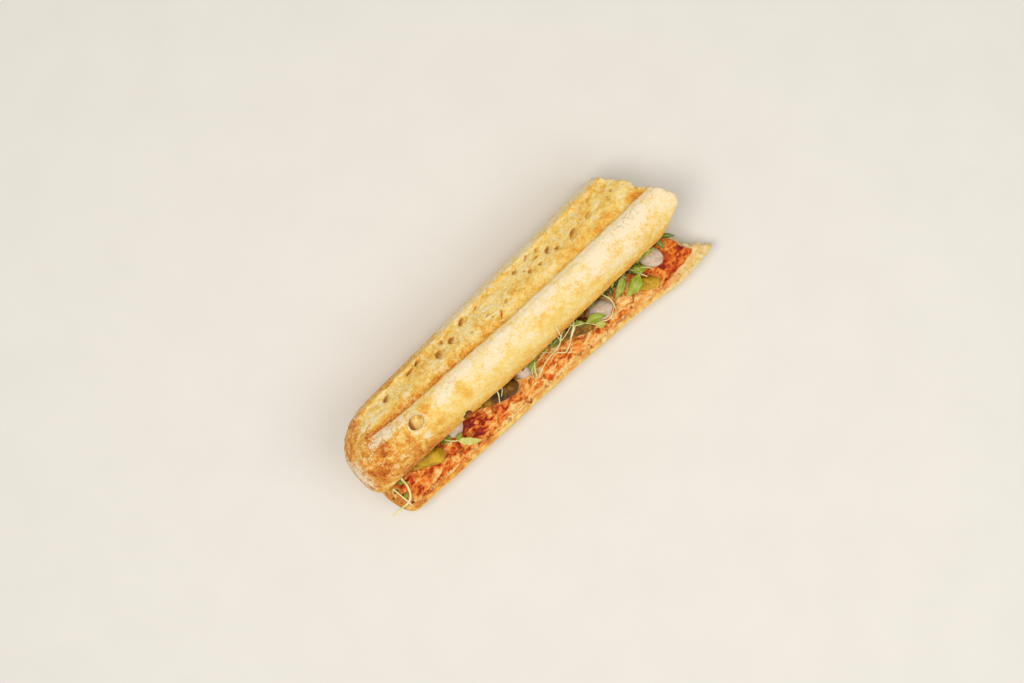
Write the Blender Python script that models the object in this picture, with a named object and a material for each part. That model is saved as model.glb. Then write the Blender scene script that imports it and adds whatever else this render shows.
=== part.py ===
"""A filled half baguette, cut open along its front and folded at its back, its lid tilted over the filling.

X runs along the loaf, from the round nose to the torn end. The mouth faces -Y, the fold is at +Y, and Z is up
from the surface that the loaf lies on. Sizes below are in millimetres, and the meshes are made in metres.
"""

import math

import bmesh
import bpy
import numpy as np
from mathutils import Vector, noise

MM = 0.001

# The loaf seen from above: lines along X, as (x, y) points
BACK_LINE = ((-87.0, 44.6), (20.0, 44.4), (60.0, 43.6), (92.0, 44.2), (104.0, 43.9))
LIP_LINE = (
    (-128.3, -5.9), (-99.5, -7.2), (-61.1, -8.8), (-29.1, -11.0), (2.9, -12.6), (66.9, -14.2), (111.7, -15.4),
)
RIM_LINE = (
    (-118.7, -29.4), (-61.1, -32.3), (2.9, -35.3), (66.9, -39.8), (84.0, -42.2), (99.0, -45.3),
    (112.0, -45.1), (134.0, -42.8),
)
FLAP_LINE = (
    (-113.6, 25.4), (-93.1, 22.2), (-61.1, 19.7), (-29.1, 17.8), (2.9, 15.8), (66.9, 13.3), (118.7, 12.0),
)

# The round nose at the left end: tip place, and how far each side takes to reach its full size
LID_NOSE = {"tip": (-134.2, 10.7), "back": 40.0, "front": 9.0, "height": 40.0, "power": 2.35}
BASE_NOSE = {"tip": (-131.8, 3.0), "back": 46.0, "front": 11.0, "height": 30.0, "power": 2.5}

# The torn right end: how far it reaches at each share of the way from back to front
LID_TEAR = (
    (0.0, 106.6), (0.05, 110.4), (0.17, 115.1), (0.27, 120.0), (0.333, 123.0), (0.38, 120.4), (0.43, 123.4),
    (0.485, 124.0), (0.53, 128.4), (0.6, 131.6), (0.70, 135.2), (0.84, 136.2), (0.875, 133.5), (0.905, 127.0),
    (0.94, 122.0), (1.0, 111.4),
)
CRUMB_TEAR = (
    (0.0, 103.0), (0.3, 112.0), (0.55, 119.5), (0.72, 123.5), (0.84, 124.0), (0.93, 119.0), (1.0, 111.2),
)
BASE_TEAR = (
    (0.0, 109.0), (0.53, 114.5), (0.68, 116.2), (0.78, 119.2), (0.87, 122.4), (0.90, 124.6), (0.93, 132.0),
    (0.975, 135.8), (1.0, 134.8),
)
TEAR_STARTS = 84.0
LOAF_END = 126.0

# Heights
FOLD_HEIGHT = 25.0
RIM_HEIGHT = 18.6
LIP_HEIGHT = 43.6
FOLD_INSET = 3.5
FOLD_GAP = 0.5
LID_THICKNESS = 23.5
LID_ARCH = 2.0
CRUST_UNEVEN = 0.55
TEAR_UNEVEN = 1.6
TEAR_DISH = 1.8

# Spread on the lower half
SPREAD_DEPTH = 5.2
SPREAD_RELIEF = 1.0
SPREAD_GAP = 0.4
SPREAD_SIDE = {"front": 3.4, "front_at_tear": 7.5, "back": 33.0, "left": -122.0, "tear_inset": 1.2}
SINK = 1.3

# Gherkins as the ends of their axes (x, y), radius, and how far they bow
GHERKINS = (
    {"from": (-109.1, -0.8), "to": (-89.4, -11.6), "radius": 6.8, "bend": 0.8},
    {"from": (-48.6, -3.7), "to": (-24.8, -14.2), "radius": 6.7, "bend": -0.8},
    {"from": (15.7, -10.6), "to": (37.3, -20.4), "radius": 6.0, "bend": 0.8},
    {"from": (79.4, -25.8), "to": (88.4, -31.8), "radius": 4.8, "bend": 0.3},
    {"from": (84.0, -4.6), "to": (108.0, -8.6), "radius": 4.9, "bend": 1.0},
)

# Onions as centre (x, y), radii along and across, turn of the long axis in degrees
ONIONS = (
    {"at": (-68.6, -6.6), "along": 7.2, "across": 6.6, "turn": 12.0},
    {"at": (-9.9, -11.0), "along": 7.6, "across": 7.0, "turn": -8.0},
    {"at": (51.5, -20.3), "along": 8.6, "across": 6.9, "turn": -22.0},
    {"at": (98.2, -19.0), "along": 8.2, "across": 7.2, "turn": -50.0},
)

# Cress: the bed under the lid, and the sprigs that come out of it
BED = {"left": -117.0, "right": 101.0, "back": 27.0, "behind_lip": 4.0, "most": 9.0}
STALK_RADIUS = 0.62
LEAF_THICKNESS = 0.55
SPRIG_GAP = 0.5
# Each stalk's way from the bed, as (x, y, lift above what it lies on)
STALKS = (
    ((-112.0, 0.0, 1.0), (-115.2, -7.2, 1.0), (-116.1, -13.0, 0.8), (-119.3, -18.8, 0.6),
     (-123.2, -20.7, 0.6), (-128.3, -20.4, 1.0), (-136.4, -20.0, 1.8)),
    ((-123.9, -7.6, 0.8), (-122.8, -20.7, 0.6), (-122.5, -24.5, 0.5)),
    ((-82.0, -1.0, 1.0), (-79.0, -6.6, 1.2), (-75.2, -12.4, 1.0), (-70.7, -16.2, 0.6)),
    ((-31.0, -4.0, 1.0), (-32.3, -11.4, 1.0), (-36.1, -16.8, 0.4)),
    ((2.0, -4.0, 1.0), (0.3, -11.1, 1.0), (-3.5, -15.6, 0.8), (-8.3, -23.2, 0.5)),
    ((19.5, -6.0, 1.0), (19.5, -15.8, 1.0), (15.7, -17.8, 0.8), (2.9, -19.4, 0.6), (-6.1, -22.6, 0.5)),
    ((36.0, -6.0, 1.0), (34.1, -13.4, 1.0), (28.5, -17.5, 1.0), (17.6, -23.9, 0.6), (12.5, -20.0, 0.5)),
    ((28.0, -4.0, 1.0), (31.7, -14.6, 1.2), (38.1, -18.8, 1.0), (41.3, -22.6, 0.8), (44.5, -27.7, 0.5)),
    ((58.0, -5.0, 1.0), (59.2, -13.6, 1.2), (61.1, -20.0, 0.8), (59.2, -27.1, 0.5)),
    ((80.0, -4.0, 1.0), (78.4, -12.0, 1.2), (77.8, -17.5, 0.8)),
    ((84.0, -4.0, 1.0), (83.0, -12.0, 1.2), (85.8, -20.8, 0.8), (88.0, -26.4, 0.6)),
    ((97.0, -4.0, 1.0), (106.0, -10.4, 1.2), (113.0, -15.4, 1.4)),
)
# Each leaf's foot (x, y), heading in degrees from +X, length, width and rise to its tip
LEAVES = (
    (-116.0, -9.6, 165.0, 4.6, 3.0, 0.4),
    (-122.6, -16.0, 12.0, 4.6, 2.8, 0.2),
    (-79.0, -6.6, -62.0, 7.4, 4.6, -0.2),
    (-72.6, -14.6, 20.0, 6.0, 3.4, 0.2),
    (-70.7, -16.2, -41.0, 15.2, 5.0, 0.0),
    (0.3, -13.0, -140.0, 9.2, 4.6, 0.4),
    (17.0, -15.4, -172.0, 9.4, 4.6, 0.4),
    (39.0, -18.8, -29.0, 14.0, 5.6, 0.4),
    (42.6, -24.4, -35.0, 7.4, 4.6, 0.4),
    (77.8, -17.5, -157.0, 16.6, 5.2, 0.2),
    (85.8, -21.8, -167.0, 17.0, 8.2, 0.2),
    (82.6, -15.6, -38.0, 11.0, 5.8, 0.2),
    (107.8, -12.4, -92.0, 9.6, 3.6, 0.0),
    (113.0, -15.4, -42.0, 10.0, 3.4, 0.6),
)
# A stalk that leans on the crust, as (x, y, z)
LEANING_STALK = (
    (20.4, -14.9, 42.0), (21.0, -14.8, 46.0), (22.0, -12.6, 50.1), (22.8, -9.4, 55.3), (23.5, -5.6, 60.4),
)

# The burst bubble in the flour-dusted crust
BUBBLE = {"at": (-81.6, 12.0), "size": (5.2, 4.0, 3.0), "proud": 0.2}

COLOURS = {
    "crust": ((0.72, 0.42, 0.15), 0.75),
    "spread": ((0.66, 0.17, 0.08), 0.45),
    "gherkin": ((0.30, 0.29, 0.05), 0.3),
    "onion": ((0.72, 0.62, 0.64), 0.25),
    "cress": ((0.20, 0.38, 0.06), 0.5),
}


def follow(points, at):
    """The height at a place of a smooth line through (place, height) points."""
    if at <= points[0][0]:
        return points[0][1]
    if at >= points[-1][0]:
        return points[-1][1]
    last = len(points) - 1
    i = next(k for k in range(1, last + 1) if at <= points[k][0])

    def slope(k):
        low, high = points[max(k - 1, 0)], points[min(k + 1, last)]
        return (high[1] - low[1]) / (high[0] - low[0])

    span = points[i][0] - points[i - 1][0]
    t = (at - points[i - 1][0]) / span
    start, end = points[i - 1][1], points[i][1]
    bend = slope(i - 1) * span * (t - 2 * t**2 + t**3) + slope(i) * span * (t**3 - t**2)
    return start + (end - start) * (3 * t**2 - 2 * t**3) + bend


def straight(points, at):
    """The same through straight runs, for torn edges."""
    return float(np.interp(at, [p[0] for p in points], [p[1] for p in points]))


def ease(low, high, at):
    """0 below low, 1 above high, and a smooth step between them."""
    t = min(max((at - low) / (high - low), 0.0), 1.0)
    return t * t * (3 - 2 * t)


def lumps(x, y, z, size):
    """Smooth unevenness from -1 to 1, with bumps about that many millimetres across."""
    return noise.noise(Vector((x, y, z)) / size)


def nose_share(nose, side, x):
    """How much of its full size a side of a nose has at x."""
    away = max(x - nose["tip"][0], 0.0) / nose[side]
    if away >= 1.0:
        return 1.0
    return (1.0 - (1.0 - away) ** nose["power"]) ** (1.0 / nose["power"])


def drawn_in(nose, x, y):
    """y, drawn towards the tip of the nose as x nears it."""
    tip_y = nose["tip"][1]
    side = "back" if y > tip_y else "front"
    return tip_y + (y - tip_y) * nose_share(nose, side, x)


def back_y(x):
    return follow(BACK_LINE, x)


def lip_y(x):
    return follow(LIP_LINE, x)


def rim_y(x):
    return follow(RIM_LINE, x)


def lid_under(x, y):
    """Height of the lid's cut face."""
    fold = back_y(x) - FOLD_INSET
    lip = lip_y(x)
    share = (fold - y) / (fold - lip)
    arch = LID_ARCH * math.sin(math.pi * min(max(share, 0.0), 1.0))
    return FOLD_HEIGHT + FOLD_GAP + (LIP_HEIGHT - FOLD_HEIGHT) * share + arch


def base_top(x, y):
    """Height of the lower half's cut face."""
    fold = back_y(x) - FOLD_INSET
    share = min(max((y - rim_y(x)) / (fold - rim_y(x)), 0.0), 1.0)
    return RIM_HEIGHT + (FOLD_HEIGHT - RIM_HEIGHT) * share**1.4


# The lid's section, from the fold over the crust to the lip, then back along the crumb.
# Each point is (place from back to front, height share in the scored loaf, height share in the plain nose).
LID_OUTSIDE = (
    (0.060, 0.00, 0.00), (0.020, 0.18, 0.16), (0.000, 0.36, 0.32), (0.008, 0.56, 0.46), (0.030, 0.74, 0.59),
    (0.055, 0.87, 0.69), (0.072, 0.93, 0.75), (0.096, 0.87, 0.80), (0.160, 0.88, 0.88), (0.230, 0.93, 0.94),
    (0.300, 0.97, 0.98), (0.370, 0.97, 1.01), (0.430, 0.94, 1.03), (0.475, 0.90, 1.04), (0.500, 1.06, 1.05),
    (0.530, 1.12, 1.05), (0.580, 1.12, 1.04), (0.640, 1.08, 1.02), (0.700, 1.02, 0.98), (0.760, 0.93, 0.91),
    (0.820, 0.81, 0.80), (0.870, 0.67, 0.67), (0.910, 0.53, 0.53), (0.950, 0.36, 0.36), (0.980, 0.20, 0.20),
    (1.000, 0.07, 0.07),
)
LID_INSIDE = (0.982, 0.92, 0.84, 0.75, 0.65, 0.55, 0.45, 0.35, 0.25, 0.16, 0.10)
SCORE_STARTS = (-119.0, -101.0)


def flap_share(x):
    """Where the flap's edge lies between the back and the lip."""
    return (back_y(x) - follow(FLAP_LINE, x)) / (back_y(x) - lip_y(x))


def place_across(x, p):
    """Share of the way from back to lip, with the flap's edge at half of p."""
    edge = flap_share(x)
    return 2 * p * edge if p < 0.5 else edge + (2 * p - 1) * (1 - edge)


def lid_height(x, scored, plain):
    """Crust height above the cut face."""
    cut = ease(SCORE_STARTS[0], SCORE_STARTS[1], x)
    share = plain + (scored - plain) * cut
    return share * LID_THICKNESS * nose_share(LID_NOSE, "height", x)


def lid_point(x, p, scored, plain):
    across = place_across(x, p)
    flat_y = back_y(x) + across * (lip_y(x) - back_y(x))
    y = drawn_in(LID_NOSE, x, flat_y)
    height = lid_height(x, scored, plain)
    z = lid_under(x, y) + height
    uneven = CRUST_UNEVEN * min(height / 6.0, 1.0) * lumps(x, y, z, 16.0)
    return Vector((x, y, z + uneven))


def torn(x, reach):
    """x, stretched so that the loaf ends at its reach."""
    if x <= TEAR_STARTS:
        return x
    return TEAR_STARTS + (x - TEAR_STARTS) * (reach - TEAR_STARTS) / (LOAF_END - TEAR_STARTS)


def lid_ring(station):
    ring = []
    for p, scored, plain in LID_OUTSIDE:
        x = torn(station, straight(LID_TEAR, place_across(station, p)))
        ring.append(lid_point(x, p, scored, plain))
    for p in LID_INSIDE:
        x = torn(station, straight(CRUMB_TEAR, p))
        flat_y = back_y(x) + p * (lip_y(x) - back_y(x))
        y = drawn_in(LID_NOSE, x, flat_y)
        ring.append(Vector((x, y, lid_under(x, y))))
    return ring


# The lower half's section: offsets from the back line or the rim line, with the height as a share of depth
BASE_BACK = ((3.5, 1.0), (1.3, 0.86), (0.0, 0.64), (0.7, 0.40), (3.4, 0.17), (7.6, 0.04), (12.0, 0.0))
BASE_FRONT = ((12.0, 0.0), (6.6, 0.06), (2.6, 0.26), (0.5, 0.53), (0.0, 0.75), (0.3, 0.92), (0.9, 1.0))
BASE_CUT = (0.035, 0.10, 0.20, 0.32, 0.45, 0.58, 0.70, 0.81, 0.91)


def base_point(x, flat_y, share):
    y = drawn_in(BASE_NOSE, x, flat_y)
    top = base_top(x, y)
    depth = top * nose_share(BASE_NOSE, "height", x)
    z = top - depth * (1 - share)
    bulge = CRUST_UNEVEN * lumps(x, y, z, 18.0) * (4 * share * (1 - share))
    return Vector((x, y + bulge, z))


def base_ring(station):
    ring = []

    def reach(flat_y):
        return straight(BASE_TEAR, (back_y(station) - flat_y) / (back_y(station) - rim_y(station)))

    for inset, share in BASE_BACK:
        flat_y = back_y(station) - 0.4 - inset
        x = torn(station, reach(flat_y))
        ring.append(base_point(x, back_y(x) - 0.4 - inset, share))
    for inset, share in BASE_FRONT:
        x = torn(station, reach(rim_y(station) + inset))
        ring.append(base_point(x, rim_y(x) + inset, share))
    rim_inner = rim_y(station) + 1.4
    fold = back_y(station) - FOLD_INSET - 0.8
    for share in BASE_CUT:
        flat_y = rim_inner + (fold - rim_inner) * share
        x = torn(station, reach(flat_y) - 0.8)
        ring.append(base_point(x, flat_y, 1.0))
    return ring


def stations(nose, spacing):
    """Places along the loaf, close together on the nose."""
    tip = nose["tip"][0]
    away = [0.3, 1.2, 2.8, 5.0, 8.0, 12.0, 17.0, 23.0, 30.0, 38.0]
    start = tip + 45.0
    count = round((LOAF_END - start) / spacing)
    body = [start + (LOAF_END - start) * i / count for i in range(count + 1)]
    return [tip + a for a in away] + body


def mesh_object(name, bm, colour):
    """A named object with its own material from a bmesh in millimetres."""
    bmesh.ops.scale(bm, vec=(MM, MM, MM), verts=bm.verts)
    bmesh.ops.recalc_face_normals(bm, faces=bm.faces)
    mesh = bpy.data.meshes.new(name)
    bm.to_mesh(mesh)
    bm.free()
    obj = bpy.data.objects.new(name, mesh)
    bpy.context.scene.collection.objects.link(obj)
    mesh.shade_smooth()
    mesh.set_sharp_from_angle(angle=math.radians(50))
    rgb, roughness = COLOURS[colour]
    material = bpy.data.materials.new(name)
    material.use_nodes = True
    shader = material.node_tree.nodes["Principled BSDF"]
    shader.inputs["Base Color"].default_value = (*rgb, 1.0)
    shader.inputs["Roughness"].default_value = roughness
    shader.inputs["Metallic"].default_value = 0.0
    mesh.materials.append(material)
    return obj


def skin(bm, rings):
    """Faces between one ring of vertices and the next."""
    for low, high in zip(rings, rings[1:]):
        for i in range(len(low)):
            j = (i + 1) % len(low)
            bm.faces.new((low[i], low[j], high[j], high[i]))


def lid_end(y, z):
    """Where the lid's torn face lies along X."""
    share = (back_y(LOAF_END) - y) / (back_y(LOAF_END) - lip_y(LOAF_END))
    outside, inside = straight(LID_TEAR, share), straight(CRUMB_TEAR, share)
    rise = (z - lid_under(LOAF_END, y)) / (0.8 * LID_THICKNESS)
    return inside + (outside - inside) * min(max(rise, 0.0), 1.0)


def base_end(y, z):
    """Where the lower half's torn face lies along X."""
    return straight(BASE_TEAR, (back_y(LOAF_END) - y) / (back_y(LOAF_END) - rim_y(LOAF_END)))


def torn_cap(bm, ring, end_at):
    """A rough crumb face that closes a torn end, a little hollow."""
    middle = sum((v.co for v in ring), Vector()) / len(ring)
    rings = [ring]
    for share in (0.86, 0.66, 0.44, 0.2):
        inner = []
        for v in ring:
            co = middle + (v.co - middle) * share
            rough = TEAR_UNEVEN * lumps(9.0, co.y, co.z, 5.0)
            co.x = end_at(co.y, co.z) + rough - TEAR_DISH * (1 - share * share)
            inner.append(bm.verts.new(co))
        rings.append(inner)
    skin(bm, rings)
    bm.faces.new(rings[-1])


def loaf_half(name, ring_at, nose, spacing, end_at):
    """One half of the bread: rings from the nose to the torn end."""
    bm = bmesh.new()
    rings = [[bm.verts.new(co) for co in ring_at(x)] for x in stations(nose, spacing)]
    skin(bm, rings)
    bm.faces.new(rings[0])
    torn_cap(bm, rings[-1], end_at)
    bmesh.ops.triangulate(bm, faces=bm.faces)
    return mesh_object(name, bm, "crust")


def lid_crust(x, y):
    """Height of the lid's crust over a point, or None beside it."""
    ring = [lid_point(x, p, scored, plain) for p, scored, plain in LID_OUTSIDE[2:]]
    for back, front in zip(ring, ring[1:]):
        if front.y <= y <= back.y:
            return max(back.z, front.z)
    return None


def burst_bubble(lid):
    """The open bubble in the crust, as a shallow hollow."""
    x, y = BUBBLE["at"]
    top = lid_crust(x, y)
    place = Vector((x, y, top + BUBBLE["proud"])) * MM
    bpy.ops.mesh.primitive_ico_sphere_add(subdivisions=2, radius=1.0, location=place)
    cutter = bpy.context.object
    cutter.name = "bubble_cutter"
    cutter.scale = [size * MM for size in BUBBLE["size"]]
    bpy.ops.object.transform_apply(location=False, rotation=False, scale=True)
    cutter.hide_render = True
    cutter.display_type = "WIRE"
    cut = lid.modifiers.new("bubble", "BOOLEAN")
    cut.operation = "DIFFERENCE"
    cut.object = cutter


def spread_level(x, y):
    """Mean height of the spread, before its relief."""
    return base_top(x, y) + SPREAD_GAP + SPREAD_DEPTH


class Gherkin:
    """A small gherkin lying in the spread: a tapered round body on a bent axis."""

    def __init__(self, ends):
        self.radius = ends["radius"]
        self.bend = ends["bend"]
        start, end = Vector(ends["from"]), Vector(ends["to"])
        self.start = start
        self.way = end - start
        middle = start + self.way / 2
        self.level = spread_level(middle.x, middle.y) - SINK + self.radius

    def axis(self, t):
        side = Vector((-self.way.y, self.way.x)).normalized()
        flat = self.start + self.way * t + side * self.bend * math.sin(math.pi * t)
        return Vector((flat.x, flat.y, self.level))

    def reach(self, x, y):
        """Distance from the axis in plan, and the radius there."""
        t = min(max((Vector((x, y)) - self.start).dot(self.way) / self.way.length_squared, 0.0), 1.0)
        near = self.axis(t)
        return math.hypot(x - near.x, y - near.y), self.radius

    def build(self, name):
        """Rings along the axis, closed by a round end each way."""
        bm = bmesh.new()
        sides = 14
        length = self.way.length
        places = [-0.97, -0.8, -0.5, 0.0, 0.25, 0.5, 0.75, 1.0, 1.5, 1.8, 1.97]
        heading = self.way.normalized()
        across = Vector((-heading.y, heading.x, 0.0))
        rings = []
        for place in places:
            beyond = max(-place, place - 1.0, 0.0)
            t = min(max(place, 0.0), 1.0)
            centre = self.axis(t)
            step = math.copysign(beyond, place) * self.radius
            centre = centre + Vector((heading.x, heading.y, 0.0)) * step
            round_off = math.sqrt(max(1.0 - beyond**2, 0.0))
            radius = self.radius * round_off * (0.93 + 0.07 * math.sin(math.pi * t))
            ring = []
            for i in range(sides):
                angle = 2 * math.pi * i / sides
                sideways, up = math.cos(angle), math.sin(angle)
                bump = 0.97 + 0.03 * lumps(place * length, 9 * sideways, 9 * up, 5.0)
                out = across * sideways + Vector((0, 0, 1)) * up
                ring.append(bm.verts.new(centre + out * radius * bump))
            rings.append(ring)
        skin(bm, rings)
        bm.faces.new(rings[0])
        bm.faces.new(rings[-1])
        return mesh_object(name, bm, "gherkin")


class Onion:
    """A pickled silverskin onion: a round bulb drawn to a blunt point at its root end."""

    def __init__(self, facts):
        self.facts = facts
        x, y = facts["at"]
        self.radius = max(facts["along"], facts["across"])
        self.level = spread_level(x, y) - SINK + facts["across"]

    def reach(self, x, y):
        """Distance from the middle in plan, and the radius there."""
        centre = self.facts["at"]
        return math.hypot(x - centre[0], y - centre[1]), self.radius

    def build(self, name):
        facts = self.facts
        bm = bmesh.new()
        bmesh.ops.create_uvsphere(bm, u_segments=14, v_segments=9, radius=1.0)
        turn = math.radians(facts["turn"])
        for v in bm.verts:
            along, side, up = v.co.z, v.co.x, v.co.y
            point = 0.09 * max(along, 0.0) ** 6
            lobe = 1.0 + 0.02 * lumps(along * 3, side * 3, up * 3 + facts["at"][0], 1.5)
            a = (along * 0.95 + point) * facts["along"]
            s = side * facts["across"] * lobe
            v.co = Vector((
                facts["at"][0] + a * math.cos(turn) - s * math.sin(turn),
                facts["at"][1] + a * math.sin(turn) + s * math.cos(turn),
                self.level + up * facts["across"] * 0.985,
            ))
        return mesh_object(name, bm, "onion")


def lowest_over(pieces, x, y, gap, about):
    """Height of the underside of the pieces over a point and close about it, less a gap, or None."""
    heights = []
    for piece in pieces:
        distance, radius = piece.reach(x, y)
        distance = max(distance - about, 0.0)
        if distance < radius + gap:
            drop = math.sqrt(max((radius + gap) ** 2 - distance**2, 0.0))
            heights.append(piece.level - drop)
    return min(heights) if heights else None


def hills(pieces, x, y, widened, gap):
    """Height that the pieces add to the spread's level at a point, as smooth hills wider than the pieces."""
    heights = [0.0]
    for piece in pieces:
        distance, radius = piece.reach(x, y)
        wide = radius + widened
        if distance < wide:
            top = 2 * radius - SINK + gap
            heights.append(top * (1.0 - (distance / wide) ** 2) ** 0.75)
    return max(heights)


def field_solid(name, xs, lines, low, high, colour):
    """A closed body between two height fields over a grid of points."""
    bm = bmesh.new()
    bottom = [[bm.verts.new((x, y, low(x, y))) for x, y in zip(xs[i], lines[i])] for i in range(len(xs))]
    top = [[bm.verts.new((x, y, high(x, y))) for x, y in zip(xs[i], lines[i])] for i in range(len(xs))]
    rows, columns = len(xs), len(xs[0])
    for i in range(rows - 1):
        for j in range(columns - 1):
            bm.faces.new((bottom[i][j], bottom[i][j + 1], bottom[i + 1][j + 1], bottom[i + 1][j]))
            bm.faces.new((top[i][j], top[i + 1][j], top[i + 1][j + 1], top[i][j + 1]))
    edge = [(i, 0) for i in range(rows)] + [(rows - 1, j) for j in range(1, columns)]
    edge += [(i, columns - 1) for i in range(rows - 2, -1, -1)] + [(0, j) for j in range(columns - 2, 0, -1)]
    for (i, j), (k, m) in zip(edge, edge[1:] + edge[:1]):
        bm.faces.new((bottom[i][j], bottom[k][m], top[k][m], top[i][j]))
    bmesh.ops.triangulate(bm, faces=bm.faces)
    return mesh_object(name, bm, colour)


def spread_front(x):
    """The spread's uneven front edge."""
    side = SPREAD_SIDE
    inset = side["front"] + (side["front_at_tear"] - side["front"]) * ease(80.0, 106.0, x)
    wave = 0.8 * lumps(x, 3.0, 0.0, 9.0)
    return drawn_in(BASE_NOSE, x - 5.0, rim_y(x) + inset + wave)


def spread_top(x, y, pieces):
    """Height of the spread with its lumps, dented where a piece lies in it."""
    front, back = spread_front(x), SPREAD_SIDE["back"]
    from_edge = min(y - front, back - y, x - SPREAD_SIDE["left"] + 1.0)
    fade = math.sqrt(min(max(from_edge, 0.0) / 7.0, 1.0))
    relief = SPREAD_RELIEF * (lumps(x, y, 5.0, 7.0) + 0.5 * lumps(x, y, 9.0, 3.5))
    thick = 1.2 + (SPREAD_DEPTH - 1.2) * fade + relief * fade
    z = base_top(x, y) + SPREAD_GAP + max(thick, 0.8)
    under = lowest_over(pieces, x, y, 0.5, 2.4)
    if under is not None:
        z = min(z, under)
    return max(min(z, lid_under(x, y) - 0.8), base_top(x, y) + SPREAD_GAP + 0.4)


def build_spread(pieces):
    side = SPREAD_SIDE
    rows, columns = 38, 11
    xs, lines = [], []
    for i in range(rows + 1):
        station = side["left"] + (LOAF_END - side["left"]) * i / rows
        row_x, row_y = [], []
        for j in range(columns + 1):
            across = j / columns
            reach = straight(BASE_TEAR, 0.12 + across * 0.76) - side["tear_inset"]
            x = torn(station, reach)
            back = drawn_in(BASE_NOSE, x - 4.0, side["back"])
            row_x.append(x)
            row_y.append(back + (spread_front(x) - back) * across)
        xs.append(row_x)
        lines.append(row_y)

    def low(x, y):
        return base_top(x, y) + SPREAD_GAP

    def high(x, y):
        return spread_top(x, y, pieces)

    return field_solid("spread", xs, lines, low, high, "spread")


def cress_floor(x, y, pieces):
    """Height that cress clears: the spread's lumps and the pickles."""
    return spread_level(x, y) + max(1.4 * SPREAD_RELIEF, hills(pieces, x, y, 4.5, 1.0))


def build_bed(pieces):
    """The bed of cress in the mouth, between the pickles and the lid."""
    rows, columns = 40, 7
    xs, lines = [], []
    for i in range(rows + 1):
        x = BED["left"] + (BED["right"] - BED["left"]) * i / rows
        front = lip_y(x) + BED["behind_lip"] + 1.6 * lumps(x, 0.0, 3.0, 8.0)
        back = BED["back"] + 2.0 * lumps(x, 8.0, 0.0, 12.0)
        xs.append([x] * (columns + 1))
        lines.append([back + (front - back) * j / columns for j in range(columns + 1)])

    def low(x, y):
        return min(cress_floor(x, y, pieces), lid_under(x, y) - 2.0)

    def high(x, y):
        most = BED["most"] * (0.75 + 0.35 * lumps(x, y, 2.0, 7.0))
        return max(min(lid_under(x, y) - 0.9, low(x, y) + most), low(x, y) + 1.0)

    return field_solid("cress", xs, lines, low, high, "cress")


def stalk_mesh(points, radius):
    """A thin five-sided stalk through points."""
    bm = bmesh.new()
    rings = []
    for i, point in enumerate(points):
        heading = (points[min(i + 1, len(points) - 1)] - points[max(i - 1, 0)]).normalized()
        side = heading.cross(Vector((0, 0, 1))).normalized()
        up = side.cross(heading)
        thin = radius * (1.0 - 0.35 * i / (len(points) - 1))
        ring = []
        for k in range(5):
            angle = 2 * math.pi * k / 5
            ring.append(bm.verts.new(point + (side * math.cos(angle) + up * math.sin(angle)) * thin))
        rings.append(ring)
    skin(bm, rings)
    bm.faces.new(rings[0])
    bm.faces.new(rings[-1])
    return bm


def leaf_mesh(foot, heading, length, width, rise, floor):
    """A thin wavy leaf over its floor, both faces split into triangles alike."""
    bm = bmesh.new()
    way = Vector((math.cos(heading), math.sin(heading), 0.0))
    side = Vector((-way.y, way.x, 0.0))
    stations_along = 5
    faces = []
    for level in (-0.5, 0.5):
        rows = []
        for i in range(stations_along + 1):
            t = i / stations_along
            half = 0.5 * width * max(math.sin(math.pi * t**0.85), 0.12)
            row = []
            for s in (-1.0, 0.0, 1.0):
                spot = foot + way * length * t + side * half * s
                wave = rise * t + 0.18 * s * s * half + 0.3 * math.sin(6 * t)
                settle = min(4 * t, 1.0)
                least = floor(spot.x, spot.y) + SPRIG_GAP
                spot.z = foot.z + settle * (max(foot.z + wave, least) - foot.z) + level * LEAF_THICKNESS
                row.append(bm.verts.new(spot))
            rows.append(row)
        faces.append(rows)
    under, over = faces
    for i in range(stations_along):
        for j in range(2):
            for rows in (under, over):
                a, b, c, d = rows[i][j], rows[i][j + 1], rows[i + 1][j + 1], rows[i + 1][j]
                bm.faces.new((a, b, c))
                bm.faces.new((a, c, d))
    edge = [(i, 0) for i in range(stations_along + 1)] + [(stations_along, 1), (stations_along, 2)]
    edge += [(i, 2) for i in range(stations_along - 1, -1, -1)] + [(0, 1)]
    for (i, j), (k, m) in zip(edge, edge[1:] + edge[:1]):
        bm.faces.new((under[i][j], under[k][m], over[k][m], over[i][j]))
    return bm


def filled_way(points, step):
    """Points close together on a smooth line through a stalk's few points."""
    knots = [0.0]
    for a, b in zip(points, points[1:]):
        knots.append(knots[-1] + math.dist(a[:2], b[:2]))
    count = max(3, round(knots[-1] / step))
    lines = [[(k, p[axis]) for k, p in zip(knots, points)] for axis in range(3)]
    return [[follow(line, knots[-1] * i / count) for line in lines] for i in range(count + 1)]


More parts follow.
